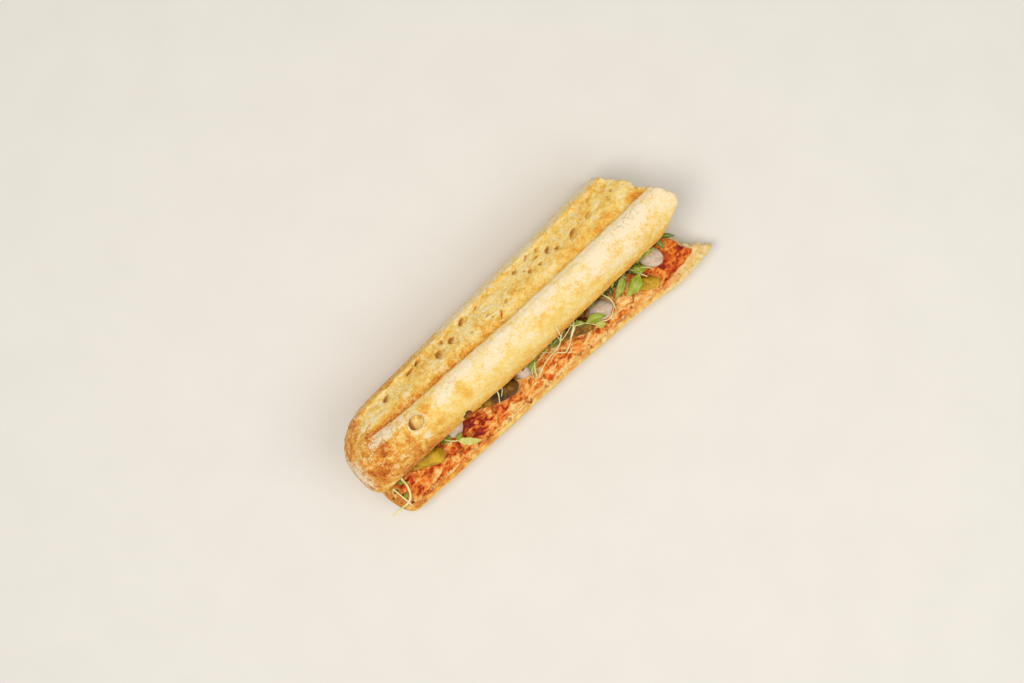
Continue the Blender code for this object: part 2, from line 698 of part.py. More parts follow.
def build_cress(pieces):
    """The bed with its sprigs fused on, as one body."""
    bed = build_bed(pieces)
    sprigs = bpy.data.collections.new("sprigs")
    bpy.context.scene.collection.children.link(sprigs)

    def add(bm, name):
        obj = mesh_object(name, bm, "cress")
        bpy.context.scene.collection.objects.unlink(obj)
        sprigs.objects.link(obj)

    def floor(x, y):
        return cress_floor(x, y, pieces)

    joints = []
    for number, stalk in enumerate(STALKS):
        way = []
        for x, y, lift in filled_way(stalk, 4.0):
            z = floor(x, y) + STALK_RADIUS + SPRIG_GAP + lift
            if y > lip_y(x) - 1.0:
                z = min(z, lid_under(x, y) - STALK_RADIUS - 1.2)
            way.append(Vector((x, y, z)))
        joints += way[:-1]
        add(stalk_mesh(way, STALK_RADIUS), f"stalk_{number}")
    leaning = [Vector(point) for point in LEANING_STALK]
    leaning.insert(0, min(joints, key=lambda joint: (joint - leaning[0]).length))
    add(stalk_mesh(leaning, STALK_RADIUS), "leaning_stalk")
    for number, (x, y, heading, length, width, rise) in enumerate(LEAVES):
        foot = min(joints, key=lambda joint: math.hypot(joint.x - x, joint.y - y))
        add(leaf_mesh(foot, math.radians(heading), length, width, rise, floor), f"leaf_{number}")
    join = bed.modifiers.new("fuse", "BOOLEAN")
    join.operation = "UNION"
    join.operand_type = "COLLECTION"
    join.collection = sprigs
    join.solver = "MANIFOLD"
    bpy.context.view_layer.objects.active = bed
    bpy.ops.object.modifier_apply(modifier=join.name)
    whole = bmesh.new()
    whole.from_mesh(bed.data)
    bmesh.ops.triangulate(whole, faces=whole.faces)
    whole.to_mesh(bed.data)
    whole.free()
    for obj in list(sprigs.objects):
        bpy.data.objects.remove(obj)
    bpy.data.collections.remove(sprigs)
    return bed


def main():
    for obj in list(bpy.data.objects):
        bpy.data.objects.remove(obj)
    lid = loaf_half("bread_lid", lid_ring, LID_NOSE, 6.6, lid_end)
    burst_bubble(lid)
    loaf_half("bread_base", base_ring, BASE_NOSE, 7.6, base_end)
    gherkins = [Gherkin(ends) for ends in GHERKINS]
    onions = [Onion(facts) for facts in ONIONS]
    for number, gherkin in enumerate(gherkins, 1):
        gherkin.build(f"gherkin_{number}")
    for number, onion in enumerate(onions, 1):
        onion.build(f"onion_{number}")
    pieces = gherkins + onions
    build_spread(pieces)
    build_cress(pieces)


main()
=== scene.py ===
import math

import bpy
import numpy as np
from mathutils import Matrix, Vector, noise


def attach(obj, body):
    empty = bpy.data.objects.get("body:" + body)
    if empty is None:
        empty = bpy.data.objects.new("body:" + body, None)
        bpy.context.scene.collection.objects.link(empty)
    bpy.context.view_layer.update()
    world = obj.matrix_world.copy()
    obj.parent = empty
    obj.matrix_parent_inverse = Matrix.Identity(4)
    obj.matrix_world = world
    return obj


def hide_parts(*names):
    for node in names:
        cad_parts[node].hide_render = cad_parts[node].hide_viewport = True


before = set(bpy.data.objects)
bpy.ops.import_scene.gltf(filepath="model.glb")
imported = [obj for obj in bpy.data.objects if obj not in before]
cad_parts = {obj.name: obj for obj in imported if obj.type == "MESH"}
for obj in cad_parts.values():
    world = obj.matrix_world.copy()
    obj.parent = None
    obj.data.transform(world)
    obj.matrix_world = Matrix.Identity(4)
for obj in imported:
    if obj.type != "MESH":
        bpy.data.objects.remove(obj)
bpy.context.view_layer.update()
bpy.ops.object.select_all(action="DESELECT")
rng = np.random.default_rng(7)
print("frame loaded")

# Places are in millimetres: x along the loaf, the mouth at -y, z up from the table
mm = 0.001

loaf = {
    "backLine": (
        (-87, 44.6), (20, 44.4), (60, 43.6), (92, 44.2), (104, 43.9),
    ),
    "lipLine": (
        (-128.3, -5.9), (-99.5, -7.2), (-61.1, -8.8), (-29.1, -11), (2.9, -12.6), (66.9, -14.2),
        (111.7, -15.4),
    ),
    "rimLine": (
        (-118.7, -29.4), (-61.1, -32.3), (2.9, -35.3), (66.9, -39.8), (84, -42.2), (99, -45.3),
        (112, -45.1), (134, -42.8),
    ),
    "flapLine": (
        (-113.6, 25.4), (-93.1, 22.2), (-61.1, 19.7), (-29.1, 17.8), (2.9, 15.8), (66.9, 13.3), (118.7, 12),
    ),
    "scoreBackLine": (
        (-117, 27), (-114.6, 31.4), (-107.2, 37), (-97.6, 39.8), (-60, 40.6), (110, 40.2),
    ),
    "foldHeight": 25.0,
    "foldInset": 3.5,
    "rimHeight": 18.6,
    "lipHeight": 43.6,
    "spreadDepth": 5.6,
}


# Smooth line through (place, height) points
def follow(points, at):
    knots = np.array([p[0] for p in points])
    heights = np.array([p[1] for p in points])
    slopes = np.gradient(heights, knots, edge_order=1)
    slopes[1:-1] = (heights[2:] - heights[:-2]) / (knots[2:] - knots[:-2])
    at = np.clip(at, knots[0], knots[-1])
    i = np.clip(np.searchsorted(knots, at), 1, len(knots) - 1)
    span = knots[i] - knots[i - 1]
    t = (at - knots[i - 1]) / span
    start, end = heights[i - 1], heights[i]
    bend = slopes[i - 1] * span * (t - 2 * t**2 + t**3) + slopes[i] * span * (t**3 - t**2)
    return start + (end - start) * (3 * t**2 - 2 * t**3) + bend


def ease(low, high, at):
    t = np.clip((at - low) / (high - low), 0.0, 1.0)
    return t * t * (3 - 2 * t)


def backY(x):
    return follow(loaf["backLine"], x)


def lipY(x):
    return follow(loaf["lipLine"], x)


def rimY(x):
    return follow(loaf["rimLine"], x)


def lidUnder(x, y):
    fold = backY(x) - loaf["foldInset"]
    share = (fold - y) / (fold - lipY(x))
    arch = 2.0 * np.sin(np.pi * np.clip(share, 0.0, 1.0))
    return loaf["foldHeight"] + 0.5 + (loaf["lipHeight"] - loaf["foldHeight"]) * share + arch


def baseTop(x, y):
    fold = backY(x) - loaf["foldInset"]
    share = np.clip((y - rimY(x)) / (fold - rimY(x)), 0.0, 1.0)
    return loaf["rimHeight"] + (loaf["foldHeight"] - loaf["rimHeight"]) * share**1.4


# Smooth unevenness, about -1 to 1, with bumps of the given size
def bumps(points, size, seed=0.0, stretch=(1.0, 1.0, 1.0)):
    scaled = points / (size * np.array(stretch)) + seed
    return np.array([noise.noise(p) for p in scaled.tolist()])


# Distance to the middle of the nearest cell, and a random number for each cell
def cells(points, size, seed=0.0, stretch=(1.0, 1.0, 1.0)):
    scaled = points / (size * np.array(stretch)) + seed
    found = [noise.voronoi(p) for p in scaled.tolist()]
    near = np.array([f[0][0] for f in found])
    middles = np.array([tuple(f[1][0]) for f in found])
    pick = np.modf(np.abs(np.sin(middles @ np.array([12.99, 78.23, 37.72])) * 4375.85))[0]
    return near, pick


# How far a point is inside an oval seen from above, 1 in its middle and 0 outside
def oval(points, x, y, along, across, turn=0.0):
    angle = math.radians(turn)
    dx, dy = points[:, 0] - x, points[:, 1] - y
    a = (dx * math.cos(angle) + dy * math.sin(angle)) / along
    b = (-dx * math.sin(angle) + dy * math.cos(angle)) / across
    return np.clip(1.0 - a * a - b * b, 0.0, 1.0)


# The strongest of many ovals at each point, full from the given share of the way in
def strongest(rows, points, full):
    most = np.zeros(len(points))
    for x, y, along, across, strength in rows:
        most = np.maximum(most, strength * ease(0.0, full, oval(points, x, y, along, across)))
    return most


# The points pushed about sideways, so that ovals seen on them come out uneven
def warped(points, amount, size, seed):
    moved = points.copy()
    moved[:, 0] += amount * bumps(points, size, seed)
    moved[:, 1] += amount * bumps(points, size, seed + 7.0)
    return moved


def activate(piece):
    bpy.ops.object.select_all(action="DESELECT")
    piece.select_set(True)
    bpy.context.view_layer.objects.active = piece


def apply(piece, kind, **settings):
    activate(piece)
    modifier = piece.modifiers.new(kind.lower(), kind)
    for name, value in settings.items():
        setattr(modifier, name, value)
    bpy.ops.object.modifier_apply(modifier=modifier.name)


# Own copy of a CAD node's mesh, with its loose triangles merged
def copyNode(nodeName, name):
    piece = bpy.data.objects.new(name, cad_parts[nodeName].data.copy())
    bpy.context.scene.collection.objects.link(piece)
    piece.data.materials.clear()
    activate(piece)
    bpy.ops.object.mode_set(mode="EDIT")
    bpy.ops.mesh.select_all(action="SELECT")
    bpy.ops.mesh.remove_doubles(threshold=0.000002)
    bpy.ops.object.mode_set(mode="OBJECT")
    return piece


def readPoints(piece):
    mesh = piece.data
    points = np.empty(len(mesh.vertices) * 3, dtype=np.float32)
    normals = np.empty(len(mesh.vertices) * 3, dtype=np.float32)
    mesh.vertices.foreach_get("co", points)
    mesh.vertex_normals.foreach_get("vector", normals)
    return points.reshape(-1, 3).astype(float) / mm, normals.reshape(-1, 3).astype(float)


def writePoints(piece, points):
    piece.data.vertices.foreach_set("co", (points * mm).astype(np.float32).ravel())
    piece.data.update()


# Named layers of shares from 0 to 1, which the materials read
def paint(piece, **layers):
    for name, values in layers.items():
        layer = piece.data.attributes.new(name, "FLOAT", "POINT")
        layer.data.foreach_set("value", np.clip(values, 0.0, 1.0).astype(np.float32))


# A new flat grid, with each point's share along it from 0 to 1 and across it from -1 to 1
def newGrid(name, columns, rows):
    bpy.ops.mesh.primitive_grid_add(x_subdivisions=columns, y_subdivisions=rows, size=2.0)
    piece = bpy.context.object
    piece.name = name
    places = readPoints(piece)[0] * mm
    return piece, (places[:, 0] + 1) / 2, places[:, 1]


def finish(piece, slotName, material, *nodes):
    activate(piece)
    bpy.ops.object.shade_smooth()
    piece.data.materials.append(material)
    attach(piece, "root")
    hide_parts(*nodes)
    activate(piece)
    bpy.ops.object.select_all(action="DESELECT")
    print(piece.name, len(piece.data.polygons), "faces")


# A shader value that can be reckoned with
class Signal:
    def __init__(self, look, socket):
        self.look = look
        self.socket = socket

    def reckon(self, operation, *values, clamp=False):
        made = self.look.node(
            "ShaderNodeMath", {"operation": operation, "use_clamp": clamp}, dict(enumerate(values))
        )
        return Signal(self.look, made.outputs[0])

    def __add__(self, other):
        return self.reckon("ADD", self, other)

    def __radd__(self, other):
        return self.reckon("ADD", other, self)

    def __sub__(self, other):
        return self.reckon("SUBTRACT", self, other)

    def __rsub__(self, other):
        return self.reckon("SUBTRACT", other, self)

    def __mul__(self, other):
        return self.reckon("MULTIPLY", self, other)

    def __rmul__(self, other):
        return self.reckon("MULTIPLY", other, self)

    def clamp(self):
        return self.reckon("ADD", self, 0.0, clamp=True)


def linear(rgb):
    return tuple(((c / 255 + 0.055) / 1.055) ** 2.4 if c > 10 else c / 255 / 12.92 for c in rgb) + (1.0,)


# One material, with short calls for the nodes it is made of
class Look:
    def __init__(self, name, **constants):
        self.material = bpy.data.materials.new(name)
        self.material.use_nodes = True
        self.tree = self.material.node_tree
        self.shader = self.tree.nodes["Principled BSDF"]
        for socketName, value in constants.items():
            self.shader.inputs[socketName].default_value = value
        self.place = self.node("ShaderNodeTexCoord").outputs["Object"]

    # Settings come first, then the values or links of the sockets
    def node(self, kind, settings=None, inputs=None):
        made = self.tree.nodes.new(kind)
        for key, value in (settings or {}).items():
            if key == "stops":
                ramp = made.color_ramp
                while len(ramp.elements) < len(value):
                    ramp.elements.new(0.5)
                for element, (at, colour) in zip(ramp.elements, value):
                    element.position = at
                    element.color = linear(colour)
            else:
                setattr(made, key, value)
        for key, value in (inputs or {}).items():
            if isinstance(value, Signal):
                value = value.socket
            if isinstance(value, bpy.types.NodeSocket):
                self.tree.links.new(value, made.inputs[key])
            else:
                made.inputs[key].default_value = value
        return made

    # Noise with bumps of the given size in millimetres, centred on 0
    def noise(self, size, detail=3.0, stretch=None, twist=0.0):
        place = self.place
        if stretch:
            mapping = {"Vector": place, "Scale": stretch}
            place = self.node("ShaderNodeMapping", {}, mapping).outputs[0]
        sockets = {"Vector": place, "Scale": 1000.0 / size, "Detail": detail, "Distortion": twist}
        return Signal(self, self.node("ShaderNodeTexNoise", {}, sockets).outputs["Fac"]) - 0.5

    # Distance to the edges of cells of the given size
    def edges(self, size):
        sockets = {"Vector": self.place, "Scale": 1000.0 / size}
        made = self.node("ShaderNodeTexVoronoi", {"feature": "DISTANCE_TO_EDGE"}, sockets)
        return Signal(self, made.outputs["Distance"])

    def attribute(self, name):
        return Signal(self, self.node("ShaderNodeAttribute", {"attribute_name": name}).outputs["Fac"])

    # 0 below low and 1 above high
    def step(self, value, low, high):
        sockets = {"Value": value, "From Min": low, "From Max": high}
        settings = {"interpolation_type": "SMOOTHSTEP"}
        return Signal(self, self.node("ShaderNodeMapRange", settings, sockets).outputs["Result"])

    def ramp(self, value, stops):
        return self.node("ShaderNodeValToRGB", {"stops": stops}, {"Fac": value}).outputs["Color"]

    def mix(self, share, low, high):
        sockets = {0: share, 6: low, 7: high}
        for key in (6, 7):
            if isinstance(sockets[key], tuple):
                sockets[key] = linear(sockets[key])
        return self.node("ShaderNodeMix", {"data_type": "RGBA"}, sockets).outputs[2]

    # Height is in millimetres
    def bump(self, height, strength=1.0):
        sockets = {"Height": height, "Distance": mm, "Strength": strength}
        self.feed("Normal", self.node("ShaderNodeBump", {}, sockets).outputs["Normal"])

    def feed(self, socketName, value):
        if isinstance(value, Signal):
            value = value.socket
        self.tree.links.new(value, self.shader.inputs[socketName])


breadLook = {
    "bake": ((0.0, (250, 228, 164)), (0.2, (249, 212, 118)), (0.42, (240, 180, 70)), (0.62, (226, 142, 46)),
             (0.82, (198, 104, 32)), (1.0, (136, 66, 20))),
    "flour": (251, 235, 204),
    "crackle": (222, 178, 108),
    "crumb": (248, 226, 168),
    "crumbShade": (232, 192, 118),
    "inner": (252, 238, 204),
    "stain": (230, 122, 44),
    # Painted shade in holes, pores and the nick's void, from golden brown to near black
    "hollow": ((0.1, (232, 184, 98)), (0.45, (212, 150, 56)), (0.8, (150, 86, 22)), (1.0, (44, 20, 8))),
}


def makeBread():
    look = Look("bread", **{"Specular IOR Level": 0.2})
    dust = look.noise(0.5, 3.0)
    fine = look.noise(1.2, 5.0)
    middle = look.noise(3.4, 6.0, twist=0.5)
    patch = look.noise(12.0, 4.0, twist=0.8)
    mottle = look.attribute("mottle")
    # Flour lies in ragged patches and specks on the paler crust, with fine cracks through it
    specks = (middle * 0.8 + fine * 0.8 + dust * 0.3) * mottle
    bake = look.attribute("bake") - specks + patch * 0.34
    colour = look.ramp(bake.clamp(), breadLook["bake"])
    ragged = (middle * 1.5 + fine * 1.6 + dust * 1.0) * (0.35 + mottle * 0.65)
    flour = look.attribute("flour") + ragged - patch * 0.8
    flourShare = look.step(flour, 0.1, 0.9) * 0.86
    cracks = 1 - look.step(look.edges(4.6) + fine * 0.6, 0.0, 0.05)
    cracks = cracks * look.attribute("cracks")
    colour = look.mix(flourShare, colour, breadLook["flour"])
    colour = look.mix(cracks.clamp() * 0.6, colour, breadLook["crackle"])
    crumbShare = look.attribute("crumb")
    crumb = look.mix(look.step(fine + middle * 0.8, -0.12, 0.2), breadLook["crumbShade"], breadLook["crumb"])
    crumb = look.mix(look.attribute("flour") * 0.6, crumb, breadLook["inner"])
    colour = look.mix(crumbShare, colour, crumb)
    stainShare = look.step(look.attribute("stain") + fine * 1.4 + middle * 1.0, 0.2, 0.9)
    colour = look.mix(stainShare * 0.85, colour, breadLook["stain"])
    # Tiny openings where the loaf is scored or torn, drawn out along it, coloured darker as painted shade in
    # them
    pores = look.step(look.noise(1.5, 2.0, (0.5, 1.0, 1.0), 0.4), 0.15, 0.24) * look.attribute("open")
    # Painted shade in the hollows, the bubble's bowl, the nick's void, the torn caves and the pores
    hollow = look.attribute("hollow") * (fine * 0.6 + 1) + pores * 0.45
    hollowShare = look.step(hollow, 0.04, 0.6) * 0.9
    colour = look.mix(hollowShare, colour, look.ramp(hollow.clamp(), breadLook["hollow"]))
    look.feed("Base Color", colour)
    look.feed("Roughness", 0.6 + flourShare * 0.25 + crumbShare * 0.15)
    grain = (middle * 0.8 + fine * 0.75 + dust * 0.4) * (0.5 + mottle * 0.5)
    look.bump(grain - cracks * 0.14 - pores * 0.4, 1.0)
    return look.material


breadMaterial = makeBread()


# Fine body with even faces, from a copy of a CAD node
def refine(piece, voxel, smoothing):
    apply(piece, "SUBSURF", levels=2, render_levels=2)
    apply(piece, "REMESH", mode="VOXEL", voxel_size=voxel * mm, use_smooth_shade=True)
    apply(piece, "SMOOTH", factor=0.5, iterations=smoothing)


# Bigger openings in a torn end
def tornCaves(points, torn):
    near, pick = cells(points, 6.5, 5.0, (0.7, 1.2, 1.0))
    return torn * ease(0.55, 0.2, near) * (pick > 0.3)


lid = {
    "voxel": 0.715,
    "scoreRelief": 0.8,
    # x, y, half length, half width, turn, depth of the bigger hollows in the score
    "hollows": (
        (-84.8, 36.3, 2.8, 1.9, 0, 1.7), (-62.8, 37.6, 3.6, 1.1, -4, 1.4), (-54.8, 38.4, 3.4, 1.1, 4, 1.5),
        (-78.4, 41.6, 2.4, 0.9, 5, 1), (-40.6, 32.4, 3.6, 3.2, 20, 1.7), (-29.1, 33, 3.6, 2.2, -15, 1.7),
        (-34.4, 36.8, 1.9, 1.3, 0, 1.3), (-16.3, 37.2, 3.5, 2, 5, 1.7), (-3.4, 36.6, 2.4, 1.2, 0, 0.9),
        (30.1, 35.5, 3.2, 1.2, -5, 1.1), (41.5, 36.9, 3.4, 1.2, 8, 1.1), (34.1, 31.9, 0.9, 0.9, 0, 1.4),
        (46, 32.3, 0.9, 0.9, 0, 1.4), (37.5, 28.7, 3, 1.2, -10, 1.1), (45.5, 27.6, 2.6, 1.2, -20, 1.1),
        (54.7, 30.9, 3, 2.4, 20, 1.5), (49.4, 35.8, 2.8, 1.2, 10, 1.1), (60, 27.1, 3, 1.2, -38, 1.2),
        (72.8, 26.6, 5, 2.4, 28, 1.4), (64, 23.2, 1.6, 0.9, 0, 0.8), (95.4, 35.2, 2.8, 0.9, 0, 0.7),
        (88.6, 27.8, 4.2, 2, 0, 0.7), (104.2, 27.4, 1.2, 1.8, 0, 1.1), (109.3, 29, 1.5, 1.1, 0, 0.9),
        (14.1, 26.2, 3, 1.1, -10, 0.9), (-0.3, 28, 4, 1, -5, 0.8), (-107, 31, 5, 0.7, 14, 0.6),
    ),
    # Small ones anywhere in the score, of which every third is smaller and lies in the row along its middle
    "smallHollows": {"count": 66, "size": (0.45, 0.95), "x": (-60, 116), "y": (19, 40.5)},
    "hollowRow": {"every": 3, "scale": 0.72, "x": (18, 114), "y": 27.6},
    # Fine wrinkles in the flour, and the brownest patches of the nose
    "cracks": (
        (103, 9, 15, 4, 0.9), (-100, 21, 9, 4, 0.6), (-53, 14, 13, 4, 0.5),
    ),
    "brown": (
        (-118, 6, 9, 6, 0.26), (-110, 13, 3, 5, 0.2), (-124, -2, 6, 4, 0.2), (-121, 33, 8, 3, 0.14),
        (-100, 7, 5, 4, 0.1), (-94, -3, 6, 2, 0.08),
    ),
    # x, y, half length, half width, strength of the whitest flour
    "flour": (
        (-40, 15, 16, 5, 0.4), (-62, 14, 10, 4.5, 0.4), (-8, 13, 14, 4.5, 0.5), (38, 10.5, 6, 3.6, 0.9),
        (25, 8, 9, 5, 0.5), (52, 3, 9, 8, 0.4), (72, 6, 9, 7, 0.7), (66, -1, 7, 7, 0.6),
        (104, 6, 14, 6, 0.7), (-82, 0, 4.6, 4.2, 0.9), (-88, 19, 9, 3, 0.5), (-103, 21, 12, 5, 1),
        (-130, 14, 5, 12, 0.4), (-104, 33, 9, 3, 0.4), (-55, 12, 9, 6, 0.5), (-116, -2, 4, 3, 0.5),
        (90, -6, 20, 6, 0.4), (-44, 0.5, 4, 3, 0.4), (-98, 1, 5, 5, 0.35), (-22, 6, 10, 5, 0.3),
    ),
    # x, y, half length, half width, strength of the golden patches on the flap
    "gold": (
        (-46, 5, 4.8, 10, 0.2), (-20, 2, 5, 8, 0.08), (16, 2, 10, 6, 0.08), (49, 0, 6, 7, 0.12),
        (84, 0.5, 8, 6, 0.1), (-92, 4, 4, 9, 0.2), (-73, 15, 6, 5, 0.16), (-108, 14, 8, 5, 0.2),
        (121, 10, 6, 5, 0.1), (-68, 3, 6, 5, 0.12), (60, 9, 3, 5, 0.1), (100, -5, 9, 5, 0.06),
        (-6, 8, 8, 3, 0.06), (30, -4, 8, 5, 0.1), (-80, -4, 14, 4, 0.1),
    ),
    # x, y, half length, half width, turn of single features, the nick's without a turn
    "bubble": (-81.0, 12.1, 6.6, 5.2, 4.0),
    "nick": (-55.0, -8.2, 3.8, 3.2),
    "mark": (4.8, 22.4, 3.4, 0.9, 52.0),
    "backSpot": (106.0, 32.6, 4.0, 4.0),
    "endSpot": (118.0, 17.0, 9.0, 6.0),
}


# How deep each point lies in the score's hollows, and the shade painted into them, darker towards their back
# and left sides
def lidHollows(points, uneven, score, outside):
    small, row = lid["smallHollows"], lid["hollowRow"]
    holes = list(lid["hollows"])
    for number in range(small["count"]):
        size = rng.uniform(*small["size"])
        x, y = rng.uniform(*small["x"]), rng.uniform(*small["y"])
        if number % row["every"] == 0:
            size *= row["scale"]
            x, y = rng.uniform(*row["x"]), rng.normal(row["y"], 1.0)
        holes.append((x, y, size * rng.uniform(1.0, 2.6), size, rng.uniform(-25, 25), 0.5 * size))
    sunk, hollow = np.zeros(len(points)), np.zeros(len(points))
    for x, y, along, across, turn, depth in holes:
        inside = oval(uneven, x, y, along * 1.05, across * 1.05, turn) * (outside > 0.5)
        if depth < 0.65:  # shallow ones stay inside the score
            inside *= score
        sunk += depth * ease(0.0, 0.7, inside)
        dx, dy = points[:, 0] - x, points[:, 1] - y
        shaded = np.clip(0.42 + 0.5 * dy / across - 0.4 * dx / along, 0.08, 0.8) * min(0.4 + 0.4 * depth, 1.0)
        hollow = np.maximum(hollow, shaded * ease(0.05, 0.4, inside))
    return sunk, hollow


# The burst bubble: its thin rim, its bowl, the shade in the bowl, and the relief of both
def lidBubble(points, uneven, small):
    x, y, along, across, turn = lid["bubble"]
    bubble = oval(warped(points, 0.5, 3.0, 2.0), x, y, along, across, turn)
    wall = ease(0.0, 0.1, bubble) * ease(0.26, 0.12, bubble)
    bowl = ease(0.18, 0.32, bubble)
    dx, dy = points[:, 0] - x, points[:, 1] - y
    shadow = bowl * np.clip(-0.3 - 2.2 * dx / along + 0.4 * dy / across, 0, 0.84)
    shadow += bowl * 0.5 * oval(uneven, x + 2.6, y + 1.0, 1.7, 1.4) + bowl * 0.25 * ease(0.0, 0.5, small)
    return wall, bowl, shadow, wall - 1.5 * ease(0.2, 0.5, bubble)


def buildLid():
    piece = copyNode("bread_lid", "lidCrust")
    refine(piece, lid["voxel"], 4)
    points, normals = readPoints(piece)
    x, y, z = points.T.copy()
    under = lidUnder(x, y)
    coarse = bumps(points, 9.0, 3.0, (1.6, 1.0, 1.0))
    middle = bumps(points, 4.0, 11.0)
    small = bumps(points, 1.9, 23.0)
    broad = bumps(points, 26.0, 31.0)
    drift = bumps(points * [1, 0, 0], 9.0, 5.0) + 0.5 * bumps(points * [1, 0, 0], 3.0, 9.0)
    uneven = warped(points, 1.0, 3.4, 4.0)

    # Which part of the loaf each point is on
    torn = ease(0.35, 0.75, normals[:, 0]) * ease(88.0, 100.0, x)
    cutFace = ease(-0.45, -0.8, normals[:, 2]) * ease(3.0, 1.2, z - under)
    crumb = np.maximum(torn, cutFace)
    outside = 1.0 - crumb
    flapEdge = follow(loaf["flapLine"], x) + 0.8 + drift * 0.35
    scoreBack = follow(loaf["scoreBackLine"], x) + drift * 0.7 + 1.2 * middle
    cut = ease(-119.0, -108.0, x)
    score = ease(-0.5, 0.7, y - flapEdge) * ease(-1.0, 1.2, scoreBack - y) * cut * outside
    flap = ease(0.5, -0.7, y - flapEdge) * outside * ease(-122.0, -104.0, x)
    nose = ease(-96.0, -114.0, x) * outside
    down = np.clip((flapEdge - y) / (flapEdge - lipY(x)), 0.0, 1.0)

    # Relief
    sunk, hollow = lidHollows(points, uneven, score, outside)
    relief = score * lid["scoreRelief"] * (0.8 * coarse + 0.7 * middle + 0.45 * small) - sunk
    crest = ease(1.8, 0.3, flapEdge - y) * ease(-0.6, 0.1, flapEdge - y) * cut * outside
    relief += flap * (0.3 * coarse + 0.25 * middle + 0.16 * small) + 0.7 * crest
    folds = np.sin((z - under) * 1.3 + 0.35 * (x + 120.0) + 2.6 * coarse)
    relief += nose * (0.2 * folds + 0.35 * middle + 0.2 * small)
    sides = np.clip(1 - score - flap - nose - crumb, 0, 1)
    relief += sides * (0.3 * coarse + 0.25 * middle + 0.15 * small)
    near = cells(points, 3.4, 2.0)[0]
    pores = np.clip(0.62 - near, 0.0, 0.6) * ease(-0.2, 0.25, middle + 0.3 * small)
    relief += crumb * (0.7 * middle + 0.5 * small - 2.6 * pores)
    relief += torn * 0.9 * small
    wall, bowl, shadow, lift = lidBubble(points, uneven, small)
    relief += lift
    nick = oval(uneven, *lid["nick"]) * ease(39.0, 43.0, z) * ease(56.0, 53.0, z)
    tuft = ease(0.1, 0.4, nick) * ease(49.6, 50.6, z)
    relief += 0.5 * tuft
    caves = tornCaves(points, torn)
    relief -= 1.8 * caves
    points += normals * relief[:, None]
    points[:, 1] += 2.0 * ease(0.0, 0.8, nick)
    points[:, 2] -= 0.9 * ease(6.0, 2.0, backY(x) - y) * ease(4.0, 1.0, z - under) * ease(-100.0, -80.0, x)
    points[:, 0] += torn * (1.0 * bumps(points, 3.0, 41.0) + 0.6 * bumps(points, 1.4, 43.0))
    writePoints(piece, points)

    # Colour shares
    left = ease(40.0, -90.0, x)
    valley = ease(8.0 + 5.0 * coarse, 0.5, y - flapEdge) * score
    backBand = ease(3.4, 0.0, scoreBack - y) * score
    rear = ease(-0.5, 1.0, y - scoreBack) * outside * cut
    bake = score * (0.2 + 0.2 * coarse + 0.12 * middle + valley * (0.14 + 0.36 * left) + 0.12 * backBand)
    lipBand = ease(0.78, 1.0, down)
    bake += flap * (0.1 + 0.12 * down**2 + lipBand * 0.28 + (0.24 - 0.1 * lipBand) * ease(-50.0, -100.0, x))
    bake += flap * (0.16 * middle * ease(-40.0, -90.0, x) + 0.1 * coarse)
    gold = strongest(lid["gold"], uneven, 0.8) * flap
    bake += gold
    bake += rear * (0.1 + 0.16 * coarse + 0.36 * ease(-10.0, -80.0, x)) * (1 - nose)
    dark = 0.52 + 0.16 * coarse + 0.1 * middle + 0.08 * folds - 0.16 * ease(7.0, 1.0, y - lipY(x))
    bake += nose * dark * (1 - flap) * (1 - score)
    bake += np.clip(nose + flap - 1, 0, 1) * (0.16 + 0.16 * coarse)
    for px, py, along, across, strength in lid["brown"]:
        patch = strength * ease(0.0, 0.7, oval(uneven, px, py, along, across)) * outside
        bake += 0.8 * patch
        gold += patch
    bake += 0.26 * oval(points, *lid["backSpot"]) + 0.26 * oval(uneven, *lid["endSpot"])
    bake += 0.6 * ease(0.0, 0.6, oval(points, *lid["mark"])) * outside
    bake += 0.18 * ease(40.0, 30.0, z) * (y > 20) * outside * (1 - nose)
    bake = np.minimum(bake, 0.8) * (1 - wall) * (1 - bowl) + bowl * (0.3 + 0.3 * small)
    flour = flap * (0.48 - 0.6 * ease(0.3, 0.95, down)) * (0.5 + 0.5 * ease(-80.0, -20.0, x))
    flour += flap * ease(40.0, 100.0, x) * 0.24 - 1.6 * gold
    for fx, fy, along, across, strength in lid["flour"]:
        flour += strength * 0.7 * oval(uneven, fx, fy, along, across) * outside
    flour += rear * (0.5 - 0.4 * ease(-10.0, -80.0, x)) + score * (0.12 - 0.6 * valley)
    flour += nose * (1 - flap) * (0.16 + 0.3 * ease(-124.0, -132.0, x)) + 0.9 * wall + torn + tuft
    flour -= 0.4 * ease(7.0, 1.0, y - lipY(x)) * ease(-60.0, -95.0, x) * outside
    # Painted shade: the nick's void is near black, and the torn end's caves and the crumb's pores are
    # coloured darker
    hollow = np.maximum(hollow, ease(0.05, 0.3, nick) * ease(50.0, 49.0, z))
    hollow = np.maximum(hollow, 0.3 * caves)
    hollow = np.maximum(np.maximum(hollow, shadow), crumb * pores * (1.3 - 0.7 * torn))
    paint(
        piece,
        cracks=strongest(lid["cracks"], points, 0.6) * outside,
        mottle=1 - flap * 0.42 * ease(-96.0, -50.0, x) - score * 0.25 * ease(-20.0, 50.0, x),
        bake=bake,
        flour=flour * (1 - bowl),
        crumb=np.maximum(np.maximum(crumb, 0.6 * bowl), tuft),
        stain=cutFace * ease(-0.1, 0.5, broad) * 0.4,
        open=0.5 * score + crumb + 0.6 * bowl,
        hollow=hollow,
    )
    finish(piece, "crust", breadMaterial, "bread_lid")


